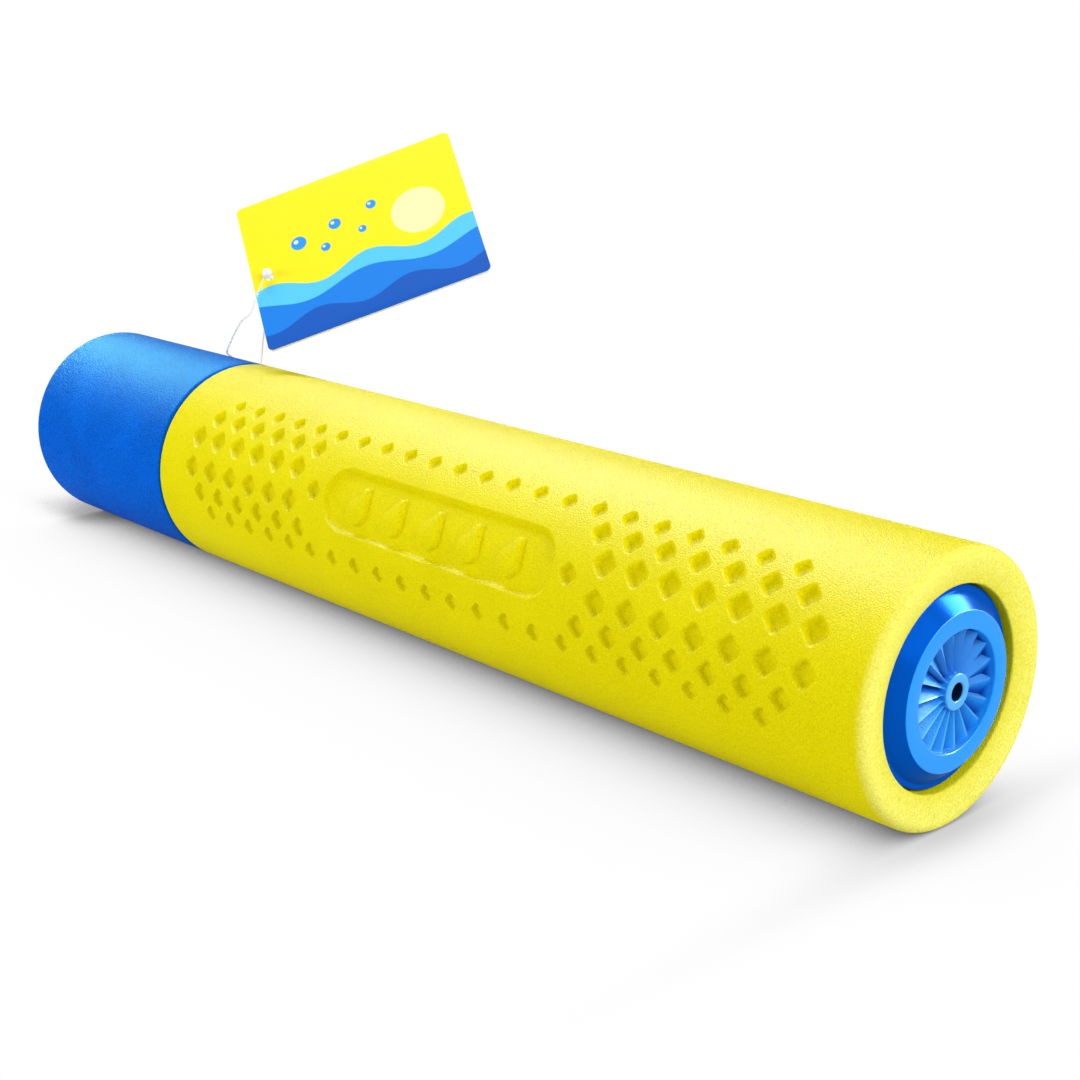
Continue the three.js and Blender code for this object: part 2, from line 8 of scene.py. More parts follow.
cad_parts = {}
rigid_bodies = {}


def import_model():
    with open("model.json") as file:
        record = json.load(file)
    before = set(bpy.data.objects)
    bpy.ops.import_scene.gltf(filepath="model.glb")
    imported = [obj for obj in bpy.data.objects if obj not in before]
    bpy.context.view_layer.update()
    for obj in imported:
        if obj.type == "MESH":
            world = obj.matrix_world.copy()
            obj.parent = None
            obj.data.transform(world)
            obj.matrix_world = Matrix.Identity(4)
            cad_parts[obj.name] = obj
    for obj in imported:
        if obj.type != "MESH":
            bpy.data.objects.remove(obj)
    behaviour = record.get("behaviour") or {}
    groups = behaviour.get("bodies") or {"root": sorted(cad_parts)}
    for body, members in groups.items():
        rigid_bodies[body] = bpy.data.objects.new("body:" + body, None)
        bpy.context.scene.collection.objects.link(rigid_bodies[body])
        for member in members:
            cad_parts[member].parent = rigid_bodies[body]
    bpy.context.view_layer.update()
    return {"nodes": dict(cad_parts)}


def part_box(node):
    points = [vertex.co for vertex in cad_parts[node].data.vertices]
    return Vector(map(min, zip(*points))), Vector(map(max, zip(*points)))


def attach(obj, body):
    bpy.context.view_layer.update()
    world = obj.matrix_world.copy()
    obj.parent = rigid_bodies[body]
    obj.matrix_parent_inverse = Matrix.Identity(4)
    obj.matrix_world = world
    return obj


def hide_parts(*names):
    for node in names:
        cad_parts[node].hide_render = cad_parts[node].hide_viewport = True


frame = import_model()
mm = 0.001  # the CAD frame is in metres, the sizes below are in millimetres

# where the barrel's axis lies, and the foam's ends, all taken from the frame
sleeveLow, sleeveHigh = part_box("barrel_sleeve")
gripLow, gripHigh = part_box("handle_grip")
foamRadius = (sleeveHigh.y - sleeveLow.y) / 2 / mm
axisHeight = sleeveHigh.z / mm - foamRadius
frontX = sleeveHigh.x / mm
seamX = sleeveLow.x / mm
gripFrontX = gripHigh.x / mm
gripRearX = gripLow.x / mm
axisPoint = Vector((0, 0, axisHeight * mm))
axisTurn = Vector((-1, 0, 0))  # turns from the -Y side up over the top
print("frame loaded, foam radius", round(foamRadius, 2), "axis at", round(axisHeight, 2))


# camera, fitted to the photograph's outline of the foam
cameraSpec = {
    "place": (293.45, -232.65, 106.34 + axisHeight),
    "heading": (-0.71109, 0.64326, -0.28384),
    "lens": 57.85,
    "sensor": 36.0,
}


def makeCamera(spec):
    data = bpy.data.cameras.new("photoCamera")
    data.sensor_width = spec["sensor"]
    data.lens = spec["lens"]
    data.clip_start = 0.01
    camera = bpy.data.objects.new("photoCamera", data)
    camera.location = Vector(spec["place"]) * mm
    camera.rotation_mode = "QUATERNION"
    camera.rotation_quaternion = Vector(spec["heading"]).to_track_quat("-Z", "Y")
    bpy.context.scene.collection.objects.link(camera)
    bpy.context.scene.camera = camera


makeCamera(cameraSpec)
print("camera placed")


# shared modelling helpers
mergeGap = 0.0005  # vertices closer than this become one
tinyGap = 0.0001  # slack in a test of where a point lies
filletShare = 0.49  # a fillet takes at most this much of a side
crispAngle = 40  # edges that turn by more stay crisp under smooth shading


def pointAt(x, radius, angle):  # angle in degrees, from the -Y side up
    turn = math.radians(angle)
    return Vector((x, -radius * math.cos(turn), axisHeight + radius * math.sin(turn))) * mm


def roundedOutline(corners):
    # corners are (x, radius, fillet, steps); a fillet of 0 keeps the corner sharp
    points = []
    for place, (x, radius, fillet, steps) in enumerate(corners):
        corner = Vector((x, radius))
        if fillet == 0:
            points.append(corner)
            continue
        before = Vector(corners[place - 1][:2]) - corner
        after = Vector(corners[(place + 1) % len(corners)][:2]) - corner
        half = before.angle(after) / 2
        back = min(fillet / math.tan(half), before.length * filletShare, after.length * filletShare)
        size = back * math.tan(half)
        inwards = (before.normalized() + after.normalized()).normalized()
        centre = corner + inwards * (size / math.sin(half))
        start = corner + before.normalized() * back - centre
        sweep = start.angle_signed(corner + after.normalized() * back - centre)
        for step in range(steps + 1):
            turned = Matrix.Rotation(-sweep * step / steps, 2) @ start
            points.append(centre + turned)
    return points


def outlineEdges(bm, points, angle):
    verts = [bm.verts.new(pointAt(point.x, point.y, angle)) for point in points]
    edges = [bm.edges.new(pair) for pair in zip(verts, verts[1:] + verts[:1])]
    return verts, edges


def spinOutline(bm, geometry, degrees, steps, merge=False):
    bmesh.ops.spin(
        bm, geom=geometry, cent=axisPoint, axis=axisTurn, dvec=(0, 0, 0), angle=math.radians(degrees),
        steps=steps, use_merge=merge, use_normal_flip=False, use_duplicate=False)


def closeUp(bm):
    bmesh.ops.remove_doubles(bm, verts=bm.verts, dist=mergeGap * mm)
    loose = [vert for vert in bm.verts if not vert.link_faces]
    bmesh.ops.delete(bm, geom=loose, context="VERTS")
    bmesh.ops.recalc_face_normals(bm, faces=bm.faces)


def settle(bm):  # the table flattens the underside of the foam
    for vert in bm.verts:
        vert.co.z = max(vert.co.z, 0.0)


def declare(piece, body, node):
    bpy.context.scene.collection.objects.link(piece)
    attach(piece, body)
    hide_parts(node)


def finishPiece(bm, name, body, materials, node):
    mesh = bpy.data.meshes.new(name)
    bm.to_mesh(mesh)
    bm.free()
    for material in materials:
        mesh.materials.append(material)
    for polygon in mesh.polygons:
        polygon.use_smooth = True
    piece = bpy.data.objects.new(name, mesh)
    declare(piece, body, node)
    return piece


def sharpen(piece, degrees):
    piece.data.set_sharp_from_angle(angle=math.radians(degrees))


# shared shader helpers
grainOutputs = [("Colour", "NodeSocketColor"), ("Roughness", "NodeSocketFloat"), ("Height", "NodeSocketFloat")]
mixInputs, mixOutput = (0, 6, 7), 2  # factor and colours of a Mix node, which has floats and vectors as well


def newGrain(name, inputs):
    group = bpy.data.node_groups.new(name, "ShaderNodeTree")
    for label, kind, value in inputs:
        socket = group.interface.new_socket(name=label, in_out="INPUT", socket_type=kind)
        socket.default_value = value
    for label, kind in grainOutputs:
        group.interface.new_socket(name=label, in_out="OUTPUT", socket_type=kind)
    return group, group.nodes.new("NodeGroupInput"), group.nodes.new("NodeGroupOutput")


def putOut(group, out, *values):
    for (label, kind), value in zip(grainOutputs, values):
        group.links.new(value, out.inputs[label])
    return group


def addNode(tree, kind, **settings):
    node = tree.nodes.new(kind)
    for key, value in settings.items():
        setattr(node, key, value)
    return node


def feed(tree, value, socket):  # a plain value is set, another node's output is linked
    if isinstance(value, (int, float, tuple)):
        socket.default_value = value
    else:
        tree.links.new(value, socket)


def setInputs(node, values):
    for label, value in values.items():
        node.inputs[label].default_value = value


def mathNode(tree, operation, first, second=0.0, clamp=False):
    node = addNode(tree, "ShaderNodeMath", operation=operation, use_clamp=clamp)
    for socket, value in zip(node.inputs, (first, second)):
        feed(tree, value, socket)
    return node.outputs[0]


def scaled(tree, value, size):
    return mathNode(tree, "MULTIPLY", value, size)


def swing(tree, noise, size):  # a noise about its own middle
    return scaled(tree, mathNode(tree, "SUBTRACT", noise, 0.5), size)


def objectSpot(tree):
    return addNode(tree, "ShaderNodeTexCoord").outputs["Object"]


def along(tree, axis):
    split = addNode(tree, "ShaderNodeSeparateXYZ")
    tree.links.new(objectSpot(tree), split.inputs[0])
    return split.outputs[axis]


def rampNode(tree, value, low, high, atLow=0.0, atHigh=1.0):
    node = addNode(tree, "ShaderNodeMapRange", interpolation_type="SMOOTHSTEP")
    tree.links.new(value, node.inputs["Value"])
    setInputs(node, {"From Min": low, "From Max": high, "To Min": atLow, "To Max": atHigh})
    return node.outputs[0]


def noiseNode(tree, spot, scale, detail, roughness=0.5):
    node = addNode(tree, "ShaderNodeTexNoise")
    setInputs(node, {"Detail": detail, "Roughness": roughness})
    feed(tree, scale, node.inputs["Scale"])
    tree.links.new(spot, node.inputs["Vector"])
    return node.outputs[0]


def mixColour(tree, factor, first, second, blend="MIX"):
    node = addNode(tree, "ShaderNodeMix", data_type="RGBA", blend_type=blend)
    for place, value in zip(mixInputs, (factor, first, second)):
        feed(tree, value, node.inputs[place])
    return node.outputs[mixOutput]


# closed-cell foam skin: small cells, a fine sparkle and a slow unevenness
foamSkin = {
    "cellSoftness": 0.35, "cellTop": 0.85, "cellHeight": 0.6, "cellShade": 0.7,
    "fineScale": 3000, "fineDetail": 2.0, "fineRoughness": 0.6, "fineHeight": 0.5, "fineShade": 1.4,
    "slowScale": 55, "slowDetail": 2.0, "slowShade": 0.5, "roughness": 0.36, "roughnessSwing": 0.28,
}


def makeFoamGrain(spec):
    group, given, out = newGrain("foamGrain", [
        ("Colour", "NodeSocketColor", (1, 1, 1, 1)), ("Deep Colour", "NodeSocketColor", (0, 0, 0, 1)),
        ("Cell Scale", "NodeSocketFloat", 1300.0), ("Mottle", "NodeSocketFloat", 0.5)])
    spot = objectSpot(group)
    cells = addNode(group, "ShaderNodeTexVoronoi", feature="SMOOTH_F1")
    group.links.new(spot, cells.inputs["Vector"])
    group.links.new(given.outputs["Cell Scale"], cells.inputs["Scale"])
    cells.inputs["Smoothness"].default_value = spec["cellSoftness"]
    cell = cells.outputs["Distance"]
    fine = noiseNode(group, spot, spec["fineScale"], spec["fineDetail"], spec["fineRoughness"])
    slow = noiseNode(group, spot, spec["slowScale"], spec["slowDetail"])
    dome = scaled(group, mathNode(group, "SUBTRACT", spec["cellTop"], cell), spec["cellHeight"])
    height = mathNode(group, "ADD", dome, scaled(group, fine, spec["fineHeight"]))
    speck = mathNode(group, "ADD", scaled(group, cell, spec["cellShade"]), swing(group, fine, spec["fineShade"]))
    shade = mathNode(group, "ADD", speck, swing(group, slow, spec["slowShade"]))
    factor = mathNode(group, "MULTIPLY", shade, given.outputs["Mottle"], clamp=True)
    colour = mixColour(group, factor, given.outputs["Colour"], given.outputs["Deep Colour"])
    rough = mathNode(group, "ADD", spec["roughness"], scaled(group, fine, spec["roughnessSwing"]))
    return putOut(group, out, colour, rough, height)


# moulded plastic skin: a slow flow mark in the colour and gloss, and a spark-eroded grain
mouldSkin = {
    "flowScale": 90, "flowDetail": 3.0, "flowTint": (0.86, 0.88, 0.9, 1), "glossSwing": 0.16, "grainDetail": 2.0,
}


def makeMouldGrain(spec):
    group, given, out = newGrain("mouldGrain", [
        ("Colour", "NodeSocketColor", (1, 1, 1, 1)), ("Gloss", "NodeSocketFloat", 0.3),
        ("Grain Scale", "NodeSocketFloat", 2500.0)])
    spot = objectSpot(group)
    flow = noiseNode(group, spot, spec["flowScale"], spec["flowDetail"])
    grain = noiseNode(group, spot, given.outputs["Grain Scale"], spec["grainDetail"])
    darker = mixColour(group, 1.0, given.outputs["Colour"], spec["flowTint"], "MULTIPLY")
    colour = mixColour(group, flow, given.outputs["Colour"], darker)
    rough = mathNode(group, "ADD", given.outputs["Gloss"], swing(group, flow, spec["glossSwing"]), clamp=True)
    return putOut(group, out, colour, rough, grain)


foamGrain = makeFoamGrain(foamSkin)
mouldGrain = makeMouldGrain(mouldSkin)


def newMaterial(name):
    material = bpy.data.materials.new(name)
    material.use_nodes = True
    tree = material.node_tree
    return material, tree, tree.nodes["Principled BSDF"]


def placeGroup(tree, group, values):
    use = addNode(tree, "ShaderNodeGroup", node_tree=group)
    setInputs(use, values)
    return use


def addBump(tree, shader, height, depth, strength):
    bump = addNode(tree, "ShaderNodeBump")
    setInputs(bump, {"Distance": depth * mm, "Strength": strength})
    tree.links.new(height, bump.inputs["Height"])
    tree.links.new(bump.outputs["Normal"], shader.inputs["Normal"])


def wireSkin(tree, shader, skin, bump):
    tree.links.new(skin.outputs["Colour"], shader.inputs["Base Color"])
    tree.links.new(skin.outputs["Roughness"], shader.inputs["Roughness"])
    addBump(tree, shader, skin.outputs["Height"], *bump)


def foamValues(spec):
    return {"Colour": spec["colour"], "Deep Colour": spec["deep"], "Cell Scale": spec["cellScale"],
            "Mottle": spec["mottle"]}


def foamMaterial(spec):
    material, tree, shader = newMaterial(spec["name"])
    skin = placeGroup(tree, foamGrain, foamValues(spec))
    wireSkin(tree, shader, skin, spec["bump"])
    setInputs(shader, {"IOR": spec["ior"], "Specular Tint": spec["glossTint"]})
    if "cut" in spec:  # the front end has larger cells, and its paler colour is painted highlight
        cut = spec["cut"]
        frontCellsAndHighlight = placeGroup(tree, foamGrain, foamValues(cut))
        share = rampNode(tree, along(tree, "X"), cut["from"] * mm, cut["to"] * mm)
        colour = mixColour(tree, share, skin.outputs["Colour"], frontCellsAndHighlight.outputs["Colour"])
        tree.links.new(colour, shader.inputs["Base Color"])
    return material


def plasticMaterial(spec):
    material, tree, shader = newMaterial(spec["name"])
    skin = placeGroup(tree, mouldGrain, {
        "Colour": spec["colour"], "Gloss": spec["gloss"], "Grain Scale": spec["grain"]})
    wireSkin(tree, shader, skin, spec["bump"])
    if "foot" in spec:  # painted shade: darker colour towards the bottom of a hollow
        foot = spec["foot"]
        share = rampNode(tree, along(tree, "X"), foot["from"] * mm, foot["to"] * mm)
        colour = mixColour(tree, share, foot["colour"], skin.outputs["Colour"])
        tree.links.new(colour, shader.inputs["Base Color"])
    setInputs(shader, {
        "Metallic": spec.get("metallic", 0.0), "Transmission Weight": spec.get("clear", 0.0),
        "IOR": spec.get("ior", 1.5), "Specular Tint": spec.get("glossTint", (1, 1, 1, 1))})
    return material


# finishes; a bump is its depth and its strength
yellowFoam = foamMaterial({
    "name": "yellowFoam", "colour": (0.84, 0.76, 0.003, 1), "deep": (0.58, 0.48, 0.0, 1), "cellScale": 3500.0,
    "mottle": 0.75, "bump": (0.15, 0.9), "ior": 1.045, "glossTint": (1.0, 1.0, 0.8, 1),
    # the front end: larger cells, and a paler colour that is painted highlight
    "cut": {"colour": (0.93, 0.90, 0.19, 1), "deep": (0.72, 0.64, 0.0, 1), "cellScale": 2400.0, "mottle": 0.9,
            "from": frontX - 2.4, "to": frontX - 0.3}})
blueFoam = foamMaterial({
    "name": "blueFoam", "colour": (0.001, 0.16, 0.84, 1), "deep": (0.0, 0.04, 0.30, 1), "cellScale": 3300.0,
    "mottle": 1.2, "bump": (0.18, 0.9), "ior": 1.045, "glossTint": (0.3, 0.95, 1.0, 1)})
ringTint = (0.25, 0.7, 1.0, 1)
coneBlue = plasticMaterial({
    "name": "nozzleConeGloss", "colour": (0.0005, 0.085, 0.52, 1), "gloss": 0.2, "grain": 1200.0,
    "bump": (0.01, 0.05), "ior": 1.05, "metallic": 0.06, "glossTint": (0.12, 0.6, 1.0, 1)})
ringBlue = plasticMaterial({
    "name": "nozzleRingSatin", "colour": (0.012, 0.30, 0.92, 1), "gloss": 0.36, "grain": 2600.0,
    "bump": (0.02, 0.15), "ior": 1.3, "glossTint": ringTint})
vaneBlue = plasticMaterial({
    "name": "nozzleVaneGrain", "colour": (0.02, 0.32, 0.92, 1), "gloss": 0.5, "grain": 3400.0,
    "bump": (0.12, 1.0), "ior": 1.3, "glossTint": ringTint,
    # painted shade: the vanes darken towards the dish floor
    "foot": {"colour": (0.0002, 0.03, 0.30, 1), "from": frontX - 2.6, "to": frontX - 0.75}})
# painted highlight: a lighter blue for the vane crests, which the hub shares
crestHighlightBlue = plasticMaterial({
    "name": "nozzleCrestPolish", "colour": (0.09, 0.43, 0.93, 1), "gloss": 0.36, "grain": 2600.0,
    "bump": (0.02, 0.15), "ior": 1.3, "glossTint": ringTint})
# painted shade: a near-black blue on the orifice walls, standing in for the shade inside the hole
boreShadeBlue = plasticMaterial({
    "name": "nozzleBoreDark", "colour": (0.002, 0.012, 0.055, 1), "gloss": 0.5, "grain": 2600.0,
    "bump": (0.02, 0.15), "ior": 1.2})
whitePlastic = plasticMaterial({
    "name": "whiteMoulding", "colour": (0.84, 0.85, 0.84, 1), "gloss": 0.38, "grain": 2200.0, "bump": (0.02, 0.2)})
tubePlastic = plasticMaterial({
    "name": "tubeExtrusion", "colour": (0.70, 0.77, 0.82, 1), "gloss": 0.25, "grain": 900.0, "bump": (0.01, 0.15),
    "clear": 0.3})
blackRubber = plasticMaterial({
    "name": "sealRubber", "colour": (0.012, 0.012, 0.013, 1), "gloss": 0.55, "grain": 3000.0, "bump": (0.02, 0.3)})
zincSteel = plasticMaterial({
    "name": "zincSteel", "colour": (0.55, 0.56, 0.58, 1), "gloss": 0.32, "grain": 1800.0, "bump": (0.01, 0.2),
    "metallic": 1.0})
nylon = plasticMaterial({
    "name": "loopNylon", "colour": (0.96, 0.96, 0.96, 1), "gloss": 0.35, "grain": 1500.0, "bump": (0.005, 0.1),
    "ior": 1.1, "clear": 0.55})
print("materials ready")


# hang tag, as it leans on its loop
tagSpec = {
    "width": 58.0, "height": 46.0, "thickness": 0.6, "corner": 1.5, "cornerSteps": 10,
    "holeRadius": 1.1, "holeInset": 4.5, "holeDrop": 1.2, "holeSteps": 28,
    "hole": (seamX + 1.1, 8.9, axisHeight + foamRadius + 21.1), "heading": 29.6, "lean": 48.9, "roll": 27.8,
    "curl": 0.9, "splits": 5, "splitLength": 3.5, "lockRadius": 1.3, "lockGap": 0.3, "lockFlat": 0.88,
}
tagMatrix = (Matrix.Translation(Vector(tagSpec["hole"]) * mm)
             @ Matrix.Rotation(math.radians(tagSpec["heading"]), 4, "Z")
             @ Matrix.Rotation(math.radians(tagSpec["lean"]), 4, "X")
             @ Matrix.Rotation(math.radians(tagSpec["roll"]), 4, "Z"))


def onTag(across, up, out):
    return tagMatrix @ (Vector((across, up, out)) * mm)


# the loop goes from the lock over the handle, into the seam, round the rod and back up through the hole
loopSpec = {
    "radius": 0.2, "length": 0.172, "cuts": 6, "shortest": 1e-6,
    "bore": 18.3, "ringX": seamX + 0.425, "ringRadius": 8.35, "ringSteps": 6, "ringStart": 20, "ringSweep": 320,
    "topAngle": 12.5, "sideAngle": 62.0, "topRise": 1.5,
    "lockSide": (-0.75, -0.69),  # across and up, in shares of the lock's reach
    "fromLock": [(-2.8, -3.6, 1.8), (-4.7, -6, 1.2), (-6.9, -7.6, -0.8), (-10.4, -6.3, -4.0)],  # across, up, out
    "overHandle": [  # behind the handle's front, above the foam, degrees from the top
        (10.6, 5.7, 9.5), (15.6, 1.7, 13.5), (20.8, 0.45, 22), (23.7, 0.35, 34), (20.3, 0.5, 46), (12.5, 1.3, 54)],
    "toSeam": [(5, 2.6, 59.5), (1.5, 2.5, 61.4), (0, 0.6, 62.0)],  # the same, from the seam
    "toHole": [(-6, -10, -6), (-0.6, -1.2, -2.4)],  # across, up, out
}


def aroundTop(x, radius, degrees):  # angle from the top towards +Y
    return pointAt(x, radius, 90 + degrees)


def loopRoute(spec):
    x, side, top = spec["ringX"], spec["sideAngle"], spec["topAngle"]
    thick = tagSpec["thickness"]
    reach = tagSpec["lockRadius"] + tagSpec["lockGap"]
    across, up = spec["lockSide"]
    inSeam = [foamRadius - 2, spec["bore"] + 2, spec["bore"] - 1]
    first, sweep = side + spec["ringStart"], spec["ringSweep"] + top - side
    route = [onTag(across * reach, up * reach, thick / 2 + reach)]
    route += [onTag(*place) for place in spec["fromLock"]]
    route += [aroundTop(gripFrontX - back, foamRadius + rise, turn) for back, rise, turn in spec["overHandle"]]
    route += [aroundTop(x - back, foamRadius + rise, turn) for back, rise, turn in spec["toSeam"]]
    route += [aroundTop(x, radius, side) for radius in inSeam]
    for step in range(spec["ringSteps"] + 1):
        route.append(aroundTop(x, spec["ringRadius"], first + sweep * step / spec["ringSteps"]))
    route += [aroundTop(x, radius, top) for radius in reversed(inSeam)]
    route.append(aroundTop(x, foamRadius + spec["topRise"], top))
    route += [onTag(*place) for place in spec["toHole"]]
    return route + [onTag(0, 0, -thick), onTag(0, 0, thick / 2)]


def between(first, second, start, end, spot):
    return first * ((end - spot) / (end - start)) + second * ((spot - start) / (end - start))


def smoothRoute(points, spec):
    # centripetal spline through the route's points
    ends = [points[0] * 2 - points[1], *points, points[-1] * 2 - points[-2]]
    dense = []
    for a, b, c, d in zip(ends, ends[1:], ends[2:], ends[3:]):
        knots = [0.0]
        for first, second in ((a, b), (b, c), (c, d)):
            knots.append(knots[-1] + max((second - first).length, spec["shortest"]) ** 0.5)
        k0, k1, k2, k3 = knots
        for cut in range(spec["cuts"]):
            spot = k1 + (k2 - k1) * cut / spec["cuts"]
            ab, bc, cd = between(a, b, k0, k1, spot), between(b, c, k1, k2, spot), between(c, d, k2, k3, spot)
            abc, bcd = between(ab, bc, k0, k2, spot), between(bc, cd, k1, k3, spot)
            dense.append(between(abc, bcd, k1, k2, spot))
    dense.append(points[-1])
    return dense


def makeLoop(spec):
    dense = smoothRoute(loopRoute(spec), spec)
    curve = bpy.data.curves.new("tagLoop", "CURVE")
    curve.dimensions = "3D"
    curve.bevel_depth = spec["radius"] * mm
    curve.bevel_resolution = 3
    curve.use_fill_caps = True
    spline = curve.splines.new("POLY")
    spline.points.add(len(dense) - 1)
    for point, place in zip(spline.points, dense):
        point.co = (*place, 1)
    curve.materials.append(nylon)
    loop = bpy.data.objects.new("tagLoop", curve)
    declare(loop, "barrel", "tag_loop")
    print("loop measures", round(sum((b - a).length for a, b in zip(dense, dense[1:])) / mm, 1), "mm")
    return loop, dense


tagLoop, loopPoints = makeLoop(loopSpec)


# printed side of the tag: a plain field with a pale disc, waves and a few drops, in shares of the card's height
printSpec = {
    "field": (0.93, 0.78, 0.006, 1), "disc": (0.98, 0.55, 0.15), "discColour": (1.0, 0.93, 0.42, 1),
    "waves": [  # level, height, count, phase, colour
        (0.37, 0.045, 11.0, 0.6, (0.09, 0.55, 0.93, 1)),
        (0.27, 0.04, 9.0, 2.2, (0.006, 0.20, 0.74, 1)),
        (0.13, 0.035, 12.0, 4.0, (0.003, 0.09, 0.48, 1))],
    "drops": [  # across, up, radius
        (0.30, 0.62, 0.045), (0.44, 0.53, 0.028), (0.52, 0.66, 0.036), (0.66, 0.56, 0.024), (0.74, 0.70, 0.03)],
    "dropColour": (0.02, 0.30, 0.86, 1), "sparkColour": (0.85, 0.95, 1.0, 1), "sparkShift": 0.3, "sparkSize": 0.28,
    "edge": 0.006, "fibreScale": 700, "fibreDetail": 3.0, "bump": (0.02, 0.25),
    "roughness": 0.28, "roughnessSwing": 0.2, "specular": 0.2,
}


def makeTagPrint(spec):
    material, tree, shader = newMaterial("tagPrint")
    split = addNode(tree, "ShaderNodeSeparateXYZ")
    tree.links.new(addNode(tree, "ShaderNodeUVMap", uv_map="cardFace").outputs[0], split.inputs[0])
    across, up = split.outputs[0], split.outputs[1]

    def inked(value):  # a clean edge where the value passes zero
        return mathNode(tree, "ADD", mathNode(tree, "DIVIDE", value, spec["edge"]), 0.5, clamp=True)

    def wave(level, height, count, phase):
        sway = mathNode(tree, "SINE", mathNode(tree, "ADD", scaled(tree, across, count), phase))
        crest = mathNode(tree, "ADD", scaled(tree, sway, height), level)
        return inked(mathNode(tree, "SUBTRACT", crest, up))

    def disc(x, y, radius):
        side = mathNode(tree, "POWER", mathNode(tree, "SUBTRACT", across, x), 2.0)
        rise = mathNode(tree, "POWER", mathNode(tree, "SUBTRACT", up, y), 2.0)
        gap = mathNode(tree, "SQRT", mathNode(tree, "ADD", side, rise))
        return inked(mathNode(tree, "SUBTRACT", radius, gap))

    colour = mixColour(tree, disc(*spec["disc"]), spec["field"], spec["discColour"])
    for *shape, ink in spec["waves"]:
        colour = mixColour(tree, wave(*shape), colour, ink)
    for x, y, radius in spec["drops"]:
        colour = mixColour(tree, disc(x, y, radius), colour, spec["dropColour"])
        shift = radius * spec["sparkShift"]
        spark = disc(x - shift, y + shift, radius * spec["sparkSize"])
        colour = mixColour(tree, spark, colour, spec["sparkColour"])
    tree.links.new(colour, shader.inputs["Base Color"])
    fibre = noiseNode(tree, objectSpot(tree), spec["fibreScale"], spec["fibreDetail"])
    addBump(tree, shader, fibre, *spec["bump"])
    rough = mathNode(tree, "ADD", spec["roughness"], scaled(tree, fibre, spec["roughnessSwing"]))
    tree.links.new(rough, shader.inputs["Roughness"])
    shader.inputs["Specular IOR Level"].default_value = spec["specular"]
    return material


tagPrint = makeTagPrint(printSpec)
cardBoard = plasticMaterial({
    "name": "cardBoard", "colour": (0.88, 0.88, 0.87, 1), "gloss": 0.7, "grain": 1200.0, "bump": (0.02, 0.3)})


def tagOutline(bm, spec):
    bmesh.ops.create_grid(bm, x_segments=2, y_segments=2, size=0.5)
    bmesh.ops.delete(bm, geom=[vert for vert in bm.verts if vert.co.length < 0.1], context="VERTS")
    bmesh.ops.contextual_create(bm, geom=bm.verts[:])
    bmesh.ops.dissolve_limit(bm, angle_limit=0.01, verts=bm.verts, edges=bm.edges)
    bmesh.ops.scale(bm, vec=(spec["width"] * mm, spec["height"] * mm, 1), verts=bm.verts)
    bmesh.ops.bevel(bm, geom=bm.verts[:], offset=spec["corner"] * mm, offset_type="OFFSET", affect="VERTICES",
                    segments=spec["cornerSteps"], profile=0.5, material=-1)
    shift = (spec["width"] / 2 * mm - spec["holeInset"] * mm, spec["holeDrop"] * mm, 0)
    bmesh.ops.translate(bm, vec=shift, verts=bm.verts)


def cutTagHole(bm, spec):
    # a punched hole: the card's face is filled again round the hole, and the hole's own faces are removed
    circle = bmesh.ops.create_circle(bm, cap_ends=False, radius=spec["holeRadius"] * mm, segments=spec["holeSteps"])
    rim = circle["verts"]
    outer = [edge for edge in bm.edges if edge.verts[0] not in rim]
    inner = [edge for edge in bm.edges if edge.verts[0] in rim]
    bmesh.ops.delete(bm, geom=bm.faces[:], context="FACES_ONLY")
    bmesh.ops.triangle_fill(bm, use_beauty=True, use_dissolve=False, edges=outer + inner)
    hole = [face for face in bm.faces if all(vert in rim for vert in face.verts)]
    bmesh.ops.delete(bm, geom=hole, context="FACES")


def makeTag(spec):
    bm = bmesh.new()
    tagOutline(bm, spec)
    cutTagHole(bm, spec)
    for split in range(spec["splits"]):  # fine enough to bend softly
        longEdges = [edge for edge in bm.edges
                     if edge.calc_length() > spec["splitLength"] * mm and not edge.is_boundary]
        bmesh.ops.subdivide_edges(bm, edges=longEdges, cuts=1)
        bmesh.ops.triangulate(bm, faces=bm.faces)
    uvLayer = bm.loops.layers.uv.new("cardFace")
    for face in bm.faces:
        for loop in face.loops:
            loop[uvLayer].uv = ((loop.vert.co.x / mm + spec["holeInset"]) / spec["height"],
                                (loop.vert.co.y / mm - spec["holeDrop"]) / spec["height"] + 0.5)
    bmesh.ops.recalc_face_normals(bm, faces=bm.faces)
    if sum(face.normal.z for face in bm.faces) < 0:
        bmesh.ops.reverse_faces(bm, faces=bm.faces)
    for vert in bm.verts:
        vert.co.z += spec["thickness"] / 2 * mm
    backSide = bmesh.ops.extrude_face_region(bm, geom=bm.faces[:])
    backVerts = [item for item in backSide["geom"] if isinstance(item, bmesh.types.BMVert)]
    bmesh.ops.translate(bm, vec=(0, 0, -spec["thickness"] * mm), verts=backVerts)
    bmesh.ops.recalc_face_normals(bm, faces=bm.faces)
    for face in bm.faces:
        face.material_index = 0 if face.normal.z > 0.5 else 1
    for vert in bm.verts:  # a light curl towards the far corners
        share = max(vert.co.x / (spec["width"] * mm), 0)
        vert.co.z -= spec["curl"] * mm * share * share
    bmesh.ops.transform(bm, matrix=tagMatrix, verts=bm.verts)
    tag = finishPiece(bm, "hangTag", "barrel", [tagPrint, cardBoard], "hang_tag")
    sharpen(tag, crispAngle)
    return tag


